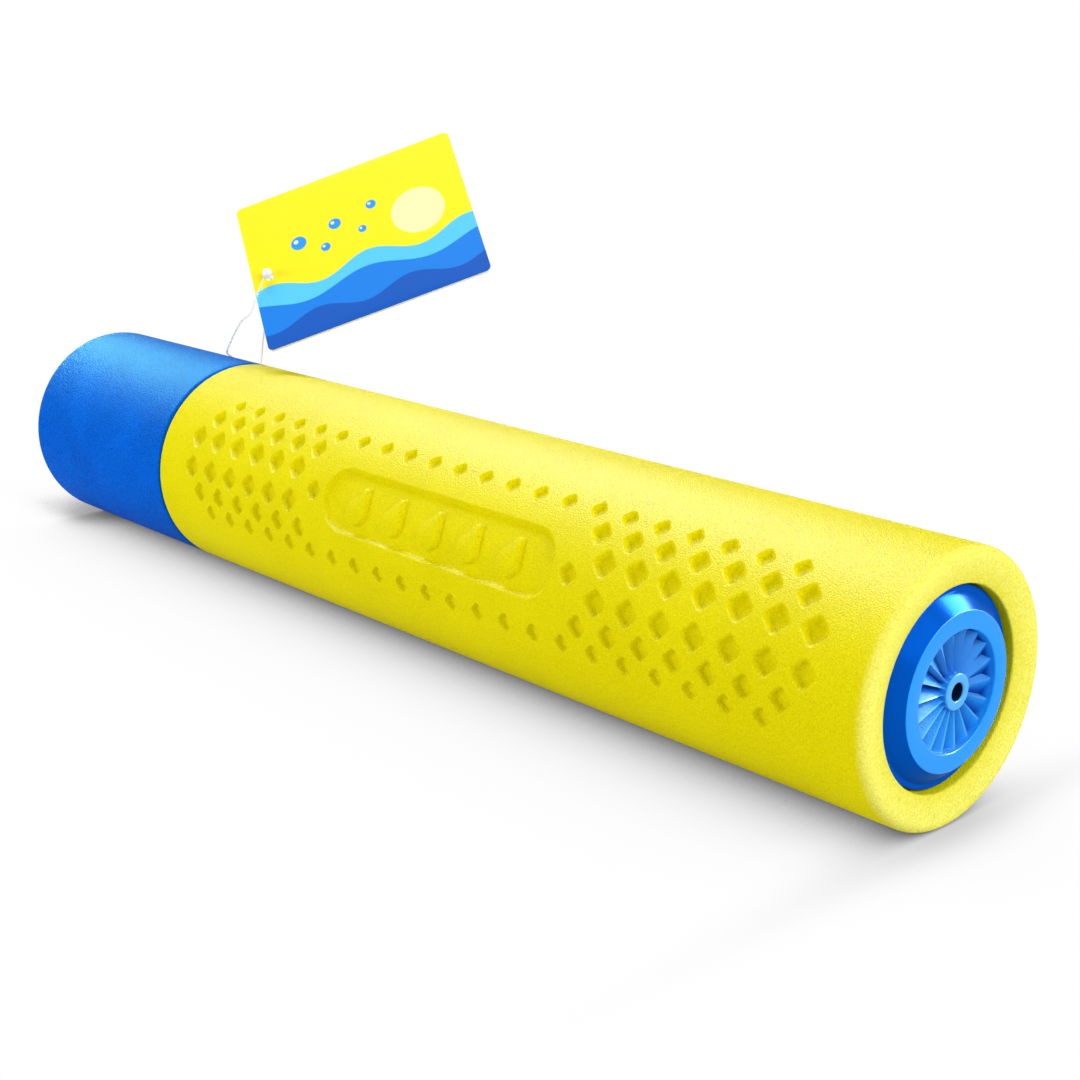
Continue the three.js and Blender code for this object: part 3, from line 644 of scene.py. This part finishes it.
def makeLock(spec):
    bm = bmesh.new()
    radius = spec["lockRadius"] * mm
    bmesh.ops.create_uvsphere(bm, u_segments=32, v_segments=20, radius=radius)
    flat = spec["lockFlat"] * radius
    for vert in bm.verts:  # a moulded waist with flat ends
        vert.co.y = max(min(vert.co.y, flat), -flat)
    lift = (spec["thickness"] / 2 + spec["lockGap"] + spec["lockRadius"]) * mm
    bmesh.ops.translate(bm, vec=(0, 0, lift), verts=bm.verts)
    bmesh.ops.transform(bm, matrix=tagMatrix, verts=bm.verts)
    return finishPiece(bm, "tagLock", "barrel", [whitePlastic], "tag_lock")


hangTag = makeTag(tagSpec)
tagLock = makeLock(tagSpec)
print("tag and loop made")


# barrel foam, with its pressed pockets and panel
sleeveSpec = {
    "bore": 18.3, "seamLip": 0.7, "frontEdge": 1.8, "frontRise": 0.42, "mouthSink": 1.4, "mouthEdge": 0.45,
    "sector": 82.0, "sectorSteps": 41, "restSteps": 100, "patternAngle": 21.3,
    "columnPitch": 8.15, "rearMargin": 14.4, "columns": 24, "rearColumns": 6, "frontColumns": 7,
}
# a row's arc is its distance from the pattern's middle line, on both sides of it
# along and across are half diagonals, a whole row runs on past the panel
pocketRows = [
    {"arc": 3.75, "along": 3.4, "across": 3.2, "corner": 1.0, "depth": 1.45, "wall": 1.0,
     "staggered": False, "whole": False},
    {"arc": 9.2, "along": 2.85, "across": 2.8, "corner": 0.92, "depth": 1.32, "wall": 0.95,
     "staggered": True, "whole": False},
    {"arc": 13.65, "along": 2.3, "across": 2.3, "corner": 0.8, "depth": 1.08, "wall": 0.85,
     "staggered": False, "whole": True},
]
singlePocket = {"arc": 0.0, "along": 2.75, "across": 2.75, "corner": 0.95, "depth": 1.3, "wall": 0.95}
panelSpec = {"width": 14.4, "depth": 1.25, "endGap": 4.0, "wall": 1.0, "roundness": 0.999, "cornerSteps": 20,
             "pointGap": 1.5}
dropSpec = {"count": 5, "pitch": 12.2, "radius": 3.0, "tip": 0.45, "reach": 6.0, "tilt": 20.0, "height": 1.2,
            "wall": 0.5, "middle": 0.33, "bellySteps": 26, "tipSteps": 8}
lip = 0.28  # how far outside its outline a pressed edge starts to round over
diagonalLip = 1.41 * lip
# inset and share of the depth
pressSteps = [(0.16, 0.0), (0.14, 0.05), (0.14, 0.18), (0.30, 0.72), (0.18, 0.92), (0.25, 1.0)]
pokeDepth = 0.1  # how much further the middle of a pressed face goes
sheetMerge = 0.04  # merges the slivers left by the cuts into strips
floorGap = 0.01  # slack in finding the panel's floor


def columnX(column):
    return seamX + sleeveSpec["rearMargin"] + column * sleeveSpec["columnPitch"]


lastColumn = sleeveSpec["columns"] - 1
rearSingle = sleeveSpec["rearColumns"]
frontSingle = lastColumn - sleeveSpec["frontColumns"]
panelMiddle = (columnX(rearSingle) + columnX(frontSingle)) / 2


def hasPocket(row, column):
    if row["whole"]:
        return 0 < column < lastColumn
    if row["staggered"]:
        return 0 <= column < rearSingle or frontSingle <= column < lastColumn
    return 0 <= column < rearSingle or frontSingle < column <= lastColumn


def flatLoop(bm, points, x=0.0, arc=0.0, turn=0.0):
    # a closed outline on the foam's unrolled face
    spin = Matrix.Rotation(math.radians(turn), 2)
    verts = []
    for point in points:
        turned = spin @ point
        verts.append(bm.verts.new(Vector((x + turned.x, arc + turned.y, 0)) * mm))
    for first, second in zip(verts, verts[1:] + verts[:1]):
        bm.edges.new((first, second))


def closer(points, gap):
    # more points along the long sides of an outline
    full = []
    for first, second in zip(points, points[1:] + points[:1]):
        cuts = max(1, math.ceil((second - first).length / gap))
        full += [first.lerp(second, step / cuts) for step in range(cuts)]
    return full


def halfDiagonals(pocket):  # out to where its lip starts
    return pocket["along"] + diagonalLip, pocket["across"] + diagonalLip


def diamondPoints(pocket):
    along, across = halfDiagonals(pocket)
    corner = pocket["corner"] + lip
    places = ((-along, 0), (0, across), (along, 0), (0, -across))
    return roundedOutline([(x, arc, corner, 6) for x, arc in places])


def dropPoints(spec):
    # a round belly drawn out to a small tip
    slope = math.asin((spec["radius"] - spec["tip"]) / spec["reach"])
    points = []
    for centre, radius, start, sweep, steps in (
            (0, spec["radius"] + lip, math.pi - slope, math.pi + 2 * slope, spec["bellySteps"]),
            (spec["reach"], spec["tip"] + lip, slope, math.pi - 2 * slope, spec["tipSteps"])):
        for step in range(steps + 1):
            angle = start + sweep * step / steps
            up = centre + radius * math.sin(angle) - spec["reach"] * spec["middle"]
            points.append(Vector((radius * math.cos(angle), up)))
    return points


def cutArcs(bm, faces, half, steps):
    # splits flat faces into strips that follow the barrel's roundness
    edges = {edge for face in faces for edge in face.edges}
    verts = {vert for face in faces for vert in face.verts}
    geometry = [*verts, *edges, *faces]
    for step in range(1, steps):
        arc = -half + 2 * half * step / steps
        geometry = bmesh.ops.bisect_plane(
            bm, geom=geometry, dist=tinyGap * mm, plane_co=(0, arc * mm, 0), plane_no=(0, 1, 0))["geom"]


def openLoops(bm, inside):
    # faces over the open outlines, turned to look outwards
    edges = [edge for edge in bm.edges if edge.is_boundary and inside(edge.verts[0].co / mm)]
    faces = bmesh.ops.holes_fill(bm, edges=edges, sides=0)["faces"]
    bm.normal_update()
    bmesh.ops.reverse_faces(bm, faces=[face for face in bm.faces if face.normal.z < 0])
    return faces


def pressEach(bm, faces, reach, wall, depth, spine=0.0):
    # each face goes down in rings that shrink towards its own middle, or towards a spine along X
    done = 0.0
    for inset, share in pressSteps:
        faces = bmesh.ops.extrude_discrete_faces(bm, faces=faces)["faces"]
        shrink = 1 - inset * wall / reach
        reach *= shrink
        sink = Vector((0, 0, (done - share) * depth * mm))
        for face in faces:
            middle = face.calc_center_bounds()
            for vert in face.verts:
                along = max(-spine * mm, min(spine * mm, vert.co.x - middle.x))
                foot = middle + Vector((along, 0, 0))
                vert.co = foot + (vert.co - foot) * shrink + sink
        done = share
    return faces


def pressPanel(bm, faces, length, width, half, steps):
    # the panel goes down first, and the drops rise from its floor
    faces = pressEach(bm, faces, width, panelSpec["wall"], panelSpec["depth"], length - width)
    floorEdges = list(faces[0].edges)
    floorZ = faces[0].calc_center_median().z
    bmesh.ops.delete(bm, geom=faces, context="FACES_ONLY")
    before = set(bm.edges)
    for place in range(dropSpec["count"]):
        x = panelMiddle + (place - dropSpec["count"] // 2) * dropSpec["pitch"]
        flatLoop(bm, dropPoints(dropSpec), x, 0, -dropSpec["tilt"])
    dropEdges = [edge for edge in bm.edges if edge not in before]
    for vert in {vert for edge in dropEdges for vert in edge.verts}:
        vert.co.z = floorZ
    filled = bmesh.ops.triangle_fill(bm, use_beauty=True, use_dissolve=False, edges=floorEdges + dropEdges)["geom"]
    cutArcs(bm, [item for item in filled if isinstance(item, bmesh.types.BMFace)], half, steps)
    onFloor = [vert for vert in bm.verts if abs(vert.co.z - floorZ) < floorGap * mm]
    bmesh.ops.remove_doubles(bm, verts=onFloor, dist=sheetMerge * mm)
    drops = openLoops(bm, lambda spot: abs(spot.z - floorZ / mm) < floorGap)
    drops = pressEach(bm, drops, dropSpec["radius"] + lip, dropSpec["wall"], -dropSpec["height"])
    bmesh.ops.poke(bm, faces=drops, offset=pokeDepth * mm)


def pressedSheet(bm, rear, front, spec):
    # the pattern is pressed into a flat sheet, which is then rolled up round the barrel
    half = math.radians(spec["sector"]) * foamRadius / 2
    steps = spec["sectorSteps"]
    flatLoop(bm, [Vector((rear, -half)), Vector((front, -half)), Vector((front, half)), Vector((rear, half))])
    for row in pocketRows:
        shift = 0.5 if row["staggered"] else 0.0
        for column in range(spec["columns"]):
            if hasPocket(row, column):
                for side in (-1, 1):
                    flatLoop(bm, diamondPoints(row), columnX(column + shift), side * row["arc"])
    for column in (rearSingle, frontSingle):
        flatLoop(bm, diamondPoints(singlePocket), columnX(column), 0)
    length = (columnX(frontSingle) - columnX(rearSingle)) / 2 - panelSpec["endGap"] + lip
    width = panelSpec["width"] / 2 + lip
    places = ((-length, -width), (length, -width), (length, width), (-length, width))
    pill = [(x, arc, width * panelSpec["roundness"], panelSpec["cornerSteps"]) for x, arc in places]
    flatLoop(bm, closer(roundedOutline(pill), panelSpec["pointGap"]), panelMiddle, 0)
    bmesh.ops.triangle_fill(bm, use_beauty=True, use_dissolve=False, edges=bm.edges[:])
    cutArcs(bm, bm.faces[:], half, steps)
    bmesh.ops.remove_doubles(bm, verts=bm.verts, dist=sheetMerge * mm)
    pockets = openLoops(bm, lambda spot: abs(spot.y) < half - 1 and rear + 1 < spot.x < front - 1)
    panel = max(pockets, key=lambda face: face.calc_area())
    pockets.remove(panel)
    kinds = [*pocketRows, singlePocket]
    groups = [[face for face in pockets if abs(abs(face.calc_center_median().y / mm) - row["arc"]) < 1]
              for row in kinds]
    for row, group in zip(kinds, groups):
        along, across = halfDiagonals(row)
        reach = along * across / math.hypot(along, across)
        group = pressEach(bm, group, reach, row["wall"], row["depth"])
        bmesh.ops.poke(bm, faces=group, offset=-pokeDepth * mm)
    pressPanel(bm, [panel], length, width, half, steps)
    for vert in bm.verts:
        x, arc, height = vert.co / mm
        vert.co = pointAt(x, foamRadius + height, spec["patternAngle"] + math.degrees(arc / foamRadius))


def makeSleeve(spec):
    bm = bmesh.new()
    outline = roundedOutline([
        (seamX, foamRadius, spec["seamLip"], 5),
        (frontX + spec["frontRise"], foamRadius, spec["frontEdge"], 9),
        (frontX - spec["mouthSink"], spec["bore"], spec["mouthEdge"], 5),
        (seamX, spec["bore"], 0, 0),
    ])
    outer = [point.x for point in outline if point.y > foamRadius - tinyGap]
    pressedSheet(bm, min(outer), max(outer), spec)
    start = spec["patternAngle"] - spec["sector"] / 2
    verts, edges = outlineEdges(bm, outline, start)
    sides = zip(edges, outline, outline[1:] + outline[:1])
    ends = [edge for edge, first, second in sides if min(first.y, second.y) < foamRadius - tinyGap]
    spinOutline(bm, verts + ends, spec["sector"], spec["sectorSteps"])
    verts, edges = outlineEdges(bm, outline, start + spec["sector"])
    spinOutline(bm, verts + edges, 360 - spec["sector"], spec["restSteps"])
    closeUp(bm)
    settle(bm)
    sleeve = finishPiece(bm, "barrelFoam", "barrel", [yellowFoam], "barrel_sleeve")
    print("barrel foam has", sum(len(polygon.vertices) - 2 for polygon in sleeve.data.polygons), "triangles")


makeSleeve(sleeveSpec)
print("barrel foam made")


# handle foam
gripSpec = {"bore": 14.6, "seamLip": 0.7, "rearEdge": 1.2, "mouthEdge": 0.5, "steps": 160, "lengthCuts": 60,
            "cutAbove": 30}


def makeGrip(spec):
    bm = bmesh.new()
    corners = [
        (gripRearX, spec["bore"], spec["mouthEdge"], 5),
        (gripRearX, foamRadius, spec["rearEdge"], 10),
        (gripFrontX, foamRadius, spec["seamLip"], 4),
        (gripFrontX, spec["bore"], 0, 0),
    ]
    verts, edges = outlineEdges(bm, roundedOutline(corners), 0)
    longEdges = [edge for edge in edges if edge.calc_length() > spec["cutAbove"] * mm]
    bmesh.ops.subdivide_edges(bm, edges=longEdges, cuts=spec["lengthCuts"])
    spinOutline(bm, bm.verts[:] + bm.edges[:], 360, spec["steps"], merge=True)
    closeUp(bm)
    settle(bm)
    grip = finishPiece(bm, "handleFoam", "handle", [blueFoam], "handle_grip")


makeGrip(gripSpec)
print("handle foam made")


# nozzle cap: flange, glossy cone, satin ring, dish of sawtooth vanes, hub and orifice
nozzleSpec = {
    "coneDepth": 2.9, "coneWidth": 2.75, "band": 1.15, "ringWidth": 3.3, "edge": 0.3,
    "dishDepth": 2.5, "floorCuts": 12, "hub": 3.25, "orifice": 1.65,
    "vanes": 18, "vaneHeight": 1.75, "vaneBack": 0.09, "crestHighlightShare": 0.16, "stepsPerVane": 22,
    "flange": 18.0, "flangeThickness": 2.2, "spigot": 15.9, "spigotLength": 11.0, "spigotBore": 12.4,
    "grooveRadius": 13.8, "grooveHalf": 1.2, "wall": 2.4, "inlet": 2.8, "boss": 4.2, "bossLength": 3.0,
    "crispAngle": 38,
}
nozzleFinishes = {"cone": coneBlue, "ring": ringBlue, "vane": vaneBlue, "bore": boreShadeBlue, "crest": crestHighlightBlue}


def nozzlePlaces(spec):
    # where the cap's steps lie, along the axis (X) and from it
    flangeX = frontX - spec["coneDepth"]
    flangeRear = flangeX - spec["flangeThickness"]
    spigotRear = flangeRear - spec["spigotLength"]
    floorX = frontX - spec["dishDepth"]
    wallX = floorX - spec["wall"]
    coneFoot = spec["flange"] - spec["band"]
    ring = coneFoot - spec["coneWidth"]
    return {"flangeX": flangeX, "flangeRear": flangeRear, "spigotRear": spigotRear, "floorX": floorX, "wallX": wallX,
            "sealX": (flangeRear + spigotRear) / 2, "inletX": wallX - spec["bossLength"],
            "coneFoot": coneFoot, "ring": ring, "dish": ring - spec["ringWidth"]}


def nozzleCorners(spec, at):
    sealRear, sealFront = at["sealX"] - spec["grooveHalf"], at["sealX"] + spec["grooveHalf"]
    return [
        (at["spigotRear"], spec["spigot"], 0.8, 3),
        (sealRear, spec["spigot"], 0, 0),
        (sealRear, spec["grooveRadius"], 0, 0),
        (sealFront, spec["grooveRadius"], 0, 0),
        (sealFront, spec["spigot"], 0, 0),
        (at["flangeRear"], spec["spigot"], 0, 0),
        (at["flangeRear"], spec["flange"], 0.2, 2),
        (at["flangeX"], spec["flange"], 0.3, 3),
        (at["flangeX"], at["coneFoot"], 0.5, 4),
        (frontX, at["ring"], spec["edge"], 4),
        (frontX, at["dish"], spec["edge"], 4),
        (at["floorX"], at["dish"], 0.25, 3),
        (at["floorX"], spec["hub"], 0.25, 3),
        (frontX, spec["hub"], 0.3, 4),
        (frontX, spec["orifice"], 0.25, 4),
        (at["wallX"], spec["orifice"], 0, 0),
        (at["inletX"], spec["inlet"], 0, 0),
        (at["inletX"], spec["boss"], 0.3, 2),
        (at["wallX"], spec["boss"], 0.3, 2),
        (at["wallX"], spec["spigotBore"], 0.4, 2),
        (at["spigotRear"], spec["spigotBore"], 0.3, 2),
    ]


def vaneShare(y, z, spec):  # how far round its own vane a point lies
    return (math.degrees(math.atan2(z, -y)) / (360 / spec["vanes"])) % 1


def nozzleFinish(x, y, z, spec, at):
    # which finish a face gets, with small margins for the rounded corners
    radius = math.hypot(y, z)
    inFront = x > at["floorX"] - 0.1
    # the orifice walls take the painted shade
    if radius < spec["orifice"] + 0.02 and at["wallX"] - 0.1 < x < frontX - 0.3:
        return "bore"
    if inFront and spec["hub"] - 0.05 < radius < at["dish"] - 0.2 and x < frontX - 0.6:
        return "crest" if vaneShare(y, z, spec) < spec["crestHighlightShare"] else "vane"  # painted highlight along the vane crests
    if inFront and radius < spec["hub"] + 0.05:
        return "crest"
    if inFront and radius < at["dish"] + 0.05 and x < frontX - spec["edge"]:
        return "vane"
    if inFront and radius < at["ring"] + 0.15:
        return "ring"
    return "cone"


def makeNozzle(spec):
    bm = bmesh.new()
    at = nozzlePlaces(spec)
    verts, edges = outlineEdges(bm, roundedOutline(nozzleCorners(spec, at)), 0)
    floorEdge = [edge for edge in edges if all(abs(vert.co.x / mm - at["floorX"]) < floorGap for vert in edge.verts)]
    bmesh.ops.subdivide_edges(bm, edges=floorEdge, cuts=spec["floorCuts"])
    spinOutline(bm, bm.verts[:] + bm.edges[:], 360, spec["vanes"] * spec["stepsPerVane"], merge=True)
    closeUp(bm)
    for vert in bm.verts:  # the dish floor climbs round the axis and drops at the end of each vane
        x, y, z = vert.co.x / mm, vert.co.y / mm, vert.co.z / mm - axisHeight
        if abs(x - at["floorX"]) < 0.3 and spec["hub"] - 0.1 < math.hypot(y, z) < at["dish"] + 0.1:
            share = vaneShare(y, z, spec)
            climb = min((1 - share) / (1 - spec["vaneBack"]), share / spec["vaneBack"])
            vert.co.x += spec["vaneHeight"] * climb * mm
    order = list(nozzleFinishes)
    for face in bm.faces:
        centre = face.calc_center_median()
        kind = nozzleFinish(centre.x / mm, centre.y / mm, centre.z / mm - axisHeight, spec, at)
        face.material_index = order.index(kind)
    finishes = list(nozzleFinishes.values())
    nozzle = finishPiece(bm, "nozzleCap", "barrel", finishes, "nozzle_cap")
    sharpen(nozzle, spec["crispAngle"])


makeNozzle(nozzleSpec)
print("nozzle made")


# hard pieces that show when the handle is pulled out or turned
turnSteps = 96
rodSpec = {"radius": 7.0, "bore": 5.2}
discSpec = {"radius": 14.3, "thickness": 1.9, "spigot": 12.0, "bore": 7.3, "edge": 0.5, "softEdge": 0.25,
            "grooveDepth": 0.5, "grooveTop": (11.4, 8.8), "grooveFloor": (11.0, 9.2)}
endCapSpec = {"radius": 14.3, "thickness": 2.5, "edge": 0.5, "spigot": 12.0, "spigotBore": 10.0, "spigotLength": 6.0,
              "boss": 7.0, "screwHole": 1.8, "screwHead": 4.3, "headDepth": 3.2}


def nodeEnds(node):
    low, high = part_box(node)
    return low.x / mm, high.x / mm


def turnedPiece(name, node, corners):
    bm = bmesh.new()
    verts, edges = outlineEdges(bm, roundedOutline(corners), 0)
    spinOutline(bm, verts + edges, 360, turnSteps, merge=True)
    closeUp(bm)
    piece = finishPiece(bm, name, "handle", [whitePlastic], node)
    sharpen(piece, crispAngle)


def makeRod(spec):
    rear, front = nodeEnds("plunger_rod")
    turnedPiece("plungerRod", "plunger_rod", [
        (rear, spec["radius"], 0.3, 2), (front, spec["radius"], 0.3, 2),
        (front, spec["bore"], 0.2, 2), (rear, spec["bore"], 0.2, 2)])


def makeFrontDisc(spec):
    rear, front = nodeEnds("handle_front_disc")
    back = front - spec["thickness"]
    groove = front - spec["grooveDepth"]
    soft = spec["softEdge"]
    turnedPiece("handleFrontDisc", "handle_front_disc", [
        (rear, spec["spigot"], 0.3, 2), (back, spec["spigot"], 0, 0), (back, spec["radius"], 0, 0),
        (front, spec["radius"], spec["edge"], 4),
        (front, spec["grooveTop"][0], soft, 3), (groove, spec["grooveFloor"][0], soft, 3),
        (groove, spec["grooveFloor"][1], soft, 3), (front, spec["grooveTop"][1], soft, 3),
        (front, spec["bore"], soft, 3), (rear, spec["bore"], 0, 0)])


def makeEndCap(spec):
    rear, boss = nodeEnds("handle_end_cap")
    flange = rear + spec["thickness"]
    spigot = flange + spec["spigotLength"]
    floor = rear + spec["headDepth"]
    turnedPiece("handleEndCap", "handle_end_cap", [
        (rear, spec["radius"], spec["edge"], 4), (flange, spec["radius"], 0, 0), (flange, spec["spigot"], 0, 0),
        (spigot, spec["spigot"], 0.3, 2), (spigot, spec["spigotBore"], 0.3, 2), (flange, spec["spigotBore"], 0.3, 2),
        (flange, spec["boss"], 0.3, 2), (boss, spec["boss"], 0.3, 2),
        (boss, spec["screwHole"], 0, 0), (floor, spec["screwHole"], 0, 0),
        (floor, spec["screwHead"], 0.2, 2), (rear, spec["screwHead"], 0.3, 3)])


makeRod(rodSpec)
makeFrontDisc(discSpec)
makeEndCap(endCapSpec)
print("rod, disc and end cap made")

# the rest stay as the frame has them, with their own finishes
nodeFinish = {
    "barrel_tube": tubePlastic, "nozzle_seal": blackRubber, "piston_head": whitePlastic,
    "piston_seal_front": blackRubber, "piston_seal_rear": blackRubber, "rod_front_plug": whitePlastic,
    "rod_rear_plug": whitePlastic, "piston_washer": zincSteel, "piston_screw": zincSteel,
    "handle_core": whitePlastic, "handle_screw": zincSteel, "rear_cap": whitePlastic,
}
for node, finish in nodeFinish.items():
    data = frame["nodes"][node].data
    data.materials.clear()
    data.materials.append(finish)


# pale floor and soft studio light, in metres; four numbers are a ramp: from, to, value at each
stageSpec = {
    "floorSize": 8.0, "floorColour": (0.70, 0.70, 0.70, 1), "floorRoughness": 0.9, "world": 0.33,
    "shadowReach": 0.08, "shadowSamples": 16, "shadowTip": 0.141, "shadowFront": (0.0, 0.013, 1.4, 2.9),
    "shadowWidth": (0.014, 0.027, 1.0, 0.0), "shadowLean": (-0.150, -0.128, 1.33, 0.0),
    "shadowRear": (-0.141, -0.118, 1.0, 0.0), "shadowDeep": (0.30, 0.45, 0.0, 2.1),
}
plainWhite = (1, 1, 1)
# the boxes light the whole object, a glint only shows in the gloss of the piece that it names
lampSpecs = [
    {"name": "keyBox", "place": (-0.48, 0.14, 1.0), "aim": (0.0, 0.0, 0.02), "size": (0.8, 0.8),
     "power": 7.0},
    {"name": "frontBox", "place": (1.10, 0.0, 0.64), "aim": (0.14, 0.0, 0.02), "size": (0.8, 0.8),
     "power": 11.2},
    {"name": "sideBox", "place": (-0.42, -0.80, 0.07), "aim": (-0.02, 0.0, 0.02), "size": (0.7, 0.5),
     "power": 6.2},
    {"name": "barrelGlint", "place": (-0.43, 0.15, 0.84), "aim": (0.0, 0.0, 0.02), "size": (0.4, 0.5),
     "power": 490.0, "colour": (0.62, 0.78, 1.0), "glint": "barrelFoam"},
    {"name": "handleGlint", "place": (-0.90, 0.09, 0.52), "aim": (-0.1, 0.0, 0.02), "size": (0.4, 0.5),
     "power": 84.0, "colour": (0.30, 1.0, 0.7), "glint": "handleFoam"},
    {"name": "coneGlint", "place": (0.47, 0.78, 0.56), "aim": (0.14, 0.0, 0.03), "size": (0.4, 0.4),
     "power": 70.0, "colour": (0.85, 1.0, 1.0), "glint": "nozzleCap"},
    {"name": "ringGlint", "place": (0.94, 0.38, 0.49), "aim": (0.14, 0.0, 0.03), "size": (0.3, 0.3),
     "power": 14.0, "colour": (0.85, 1.0, 1.0), "glint": "nozzleCap"},
]


def seenDirectly(tree):  # by the eye, in a gloss or through a clear piece
    path = addNode(tree, "ShaderNodeLightPath")
    seen = mathNode(tree, "ADD", path.outputs["Is Camera Ray"], path.outputs["Is Glossy Ray"], clamp=True)
    return mathNode(tree, "ADD", seen, path.outputs["Is Transmission Ray"], clamp=True)


def floorShade(tree, spec):
    # white, and grey where the object stands close over the floor
    x = along(tree, "X")
    behind = rampNode(tree, mathNode(tree, "ABSOLUTE", along(tree, "Y")), *spec["shadowWidth"])
    lean = addNode(tree, "ShaderNodeCombineXYZ")  # behind the handle the sky that counts is towards the front
    tree.links.new(mathNode(tree, "MULTIPLY", behind, rampNode(tree, x, *spec["shadowLean"])), lean.inputs["X"])
    lean.inputs["Z"].default_value = 1.0
    unit = addNode(tree, "ShaderNodeVectorMath", operation="NORMALIZE")
    tree.links.new(lean.outputs[0], unit.inputs[0])
    openSky = addNode(tree, "ShaderNodeAmbientOcclusion", samples=spec["shadowSamples"])
    openSky.inputs["Distance"].default_value = spec["shadowReach"]
    tree.links.new(unit.outputs[0], openSky.inputs["Normal"])
    covered = mathNode(tree, "SUBTRACT", 1.0, openSky.outputs["AO"])
    ahead = mathNode(tree, "ABSOLUTE", mathNode(tree, "SUBTRACT", x, spec["shadowTip"]))
    deep = rampNode(tree, covered, *spec["shadowDeep"])
    rear = mathNode(tree, "MULTIPLY", rampNode(tree, x, *spec["shadowRear"]), deep)
    front = rampNode(tree, ahead, *spec["shadowFront"])
    curve = mathNode(tree, "SUBTRACT", front, mathNode(tree, "MULTIPLY", behind, rear))
    return mathNode(tree, "SUBTRACT", 1.0, mathNode(tree, "POWER", covered, curve))


def makeFloor(spec):
    bm = bmesh.new()
    bmesh.ops.create_grid(bm, x_segments=1, y_segments=1, size=spec["floorSize"] / 2)
    mesh = bpy.data.meshes.new("paleFloor")
    bm.to_mesh(mesh)
    bm.free()
    material, tree, shader = newMaterial("paleFloor")
    setInputs(shader, {
        "Base Color": spec["floorColour"], "Roughness": spec["floorRoughness"], "Specular IOR Level": 0.0})
    white = addNode(tree, "ShaderNodeEmission")
    tree.links.new(floorShade(tree, spec), white.inputs["Strength"])
    both = addNode(tree, "ShaderNodeMixShader")
    for place, output in enumerate((seenDirectly(tree), shader.outputs[0], white.outputs[0])):
        tree.links.new(output, both.inputs[place])
    tree.links.new(both.outputs[0], tree.nodes["Material Output"].inputs["Surface"])
    mesh.materials.append(material)
    floor = bpy.data.objects.new("paleFloor", mesh)
    bpy.context.scene.collection.objects.link(floor)


def makeLamp(spec):
    data = bpy.data.lights.new(spec["name"], "AREA")
    data.shape = "RECTANGLE"
    data.size, data.size_y = spec["size"]
    data.energy = spec["power"]
    data.color = spec.get("colour", plainWhite)
    lamp = bpy.data.objects.new(spec["name"], data)
    if "glint" in spec:
        lamp.visible_diffuse = False
        lamp.light_linking.receiver_collection = bpy.data.collections.new(spec["name"] + "On")
        lamp.light_linking.receiver_collection.objects.link(bpy.data.objects[spec["glint"]])
    lamp.visible_camera = False
    lamp.location = spec["place"]
    # one side of the box lies along the object, as level as the aim lets it
    back = (Vector(spec["place"]) - Vector(spec["aim"])).normalized()
    side = Vector((1, 0, 0))
    side = (side - back * side.dot(back)).normalized()
    lamp.rotation_mode = "QUATERNION"
    lamp.rotation_quaternion = Matrix((side, back.cross(side), back)).transposed().to_quaternion()
    bpy.context.scene.collection.objects.link(lamp)


def makeWorld(spec):
    world = bpy.data.worlds.new("paleStudio")
    world.use_nodes = True
    tree = world.node_tree
    back = tree.nodes["Background"]
    back.inputs["Color"].default_value = (*plainWhite, 1)
    boost = scaled(tree, seenDirectly(tree), 1.0 - spec["world"])
    tree.links.new(mathNode(tree, "ADD", boost, spec["world"]), back.inputs["Strength"])
    bpy.context.scene.world = world


makeFloor(stageSpec)
for lampSpec in lampSpecs:
    makeLamp(lampSpec)
makeWorld(stageSpec)
bpy.context.scene.view_settings.view_transform = "Standard"
print("stage set")
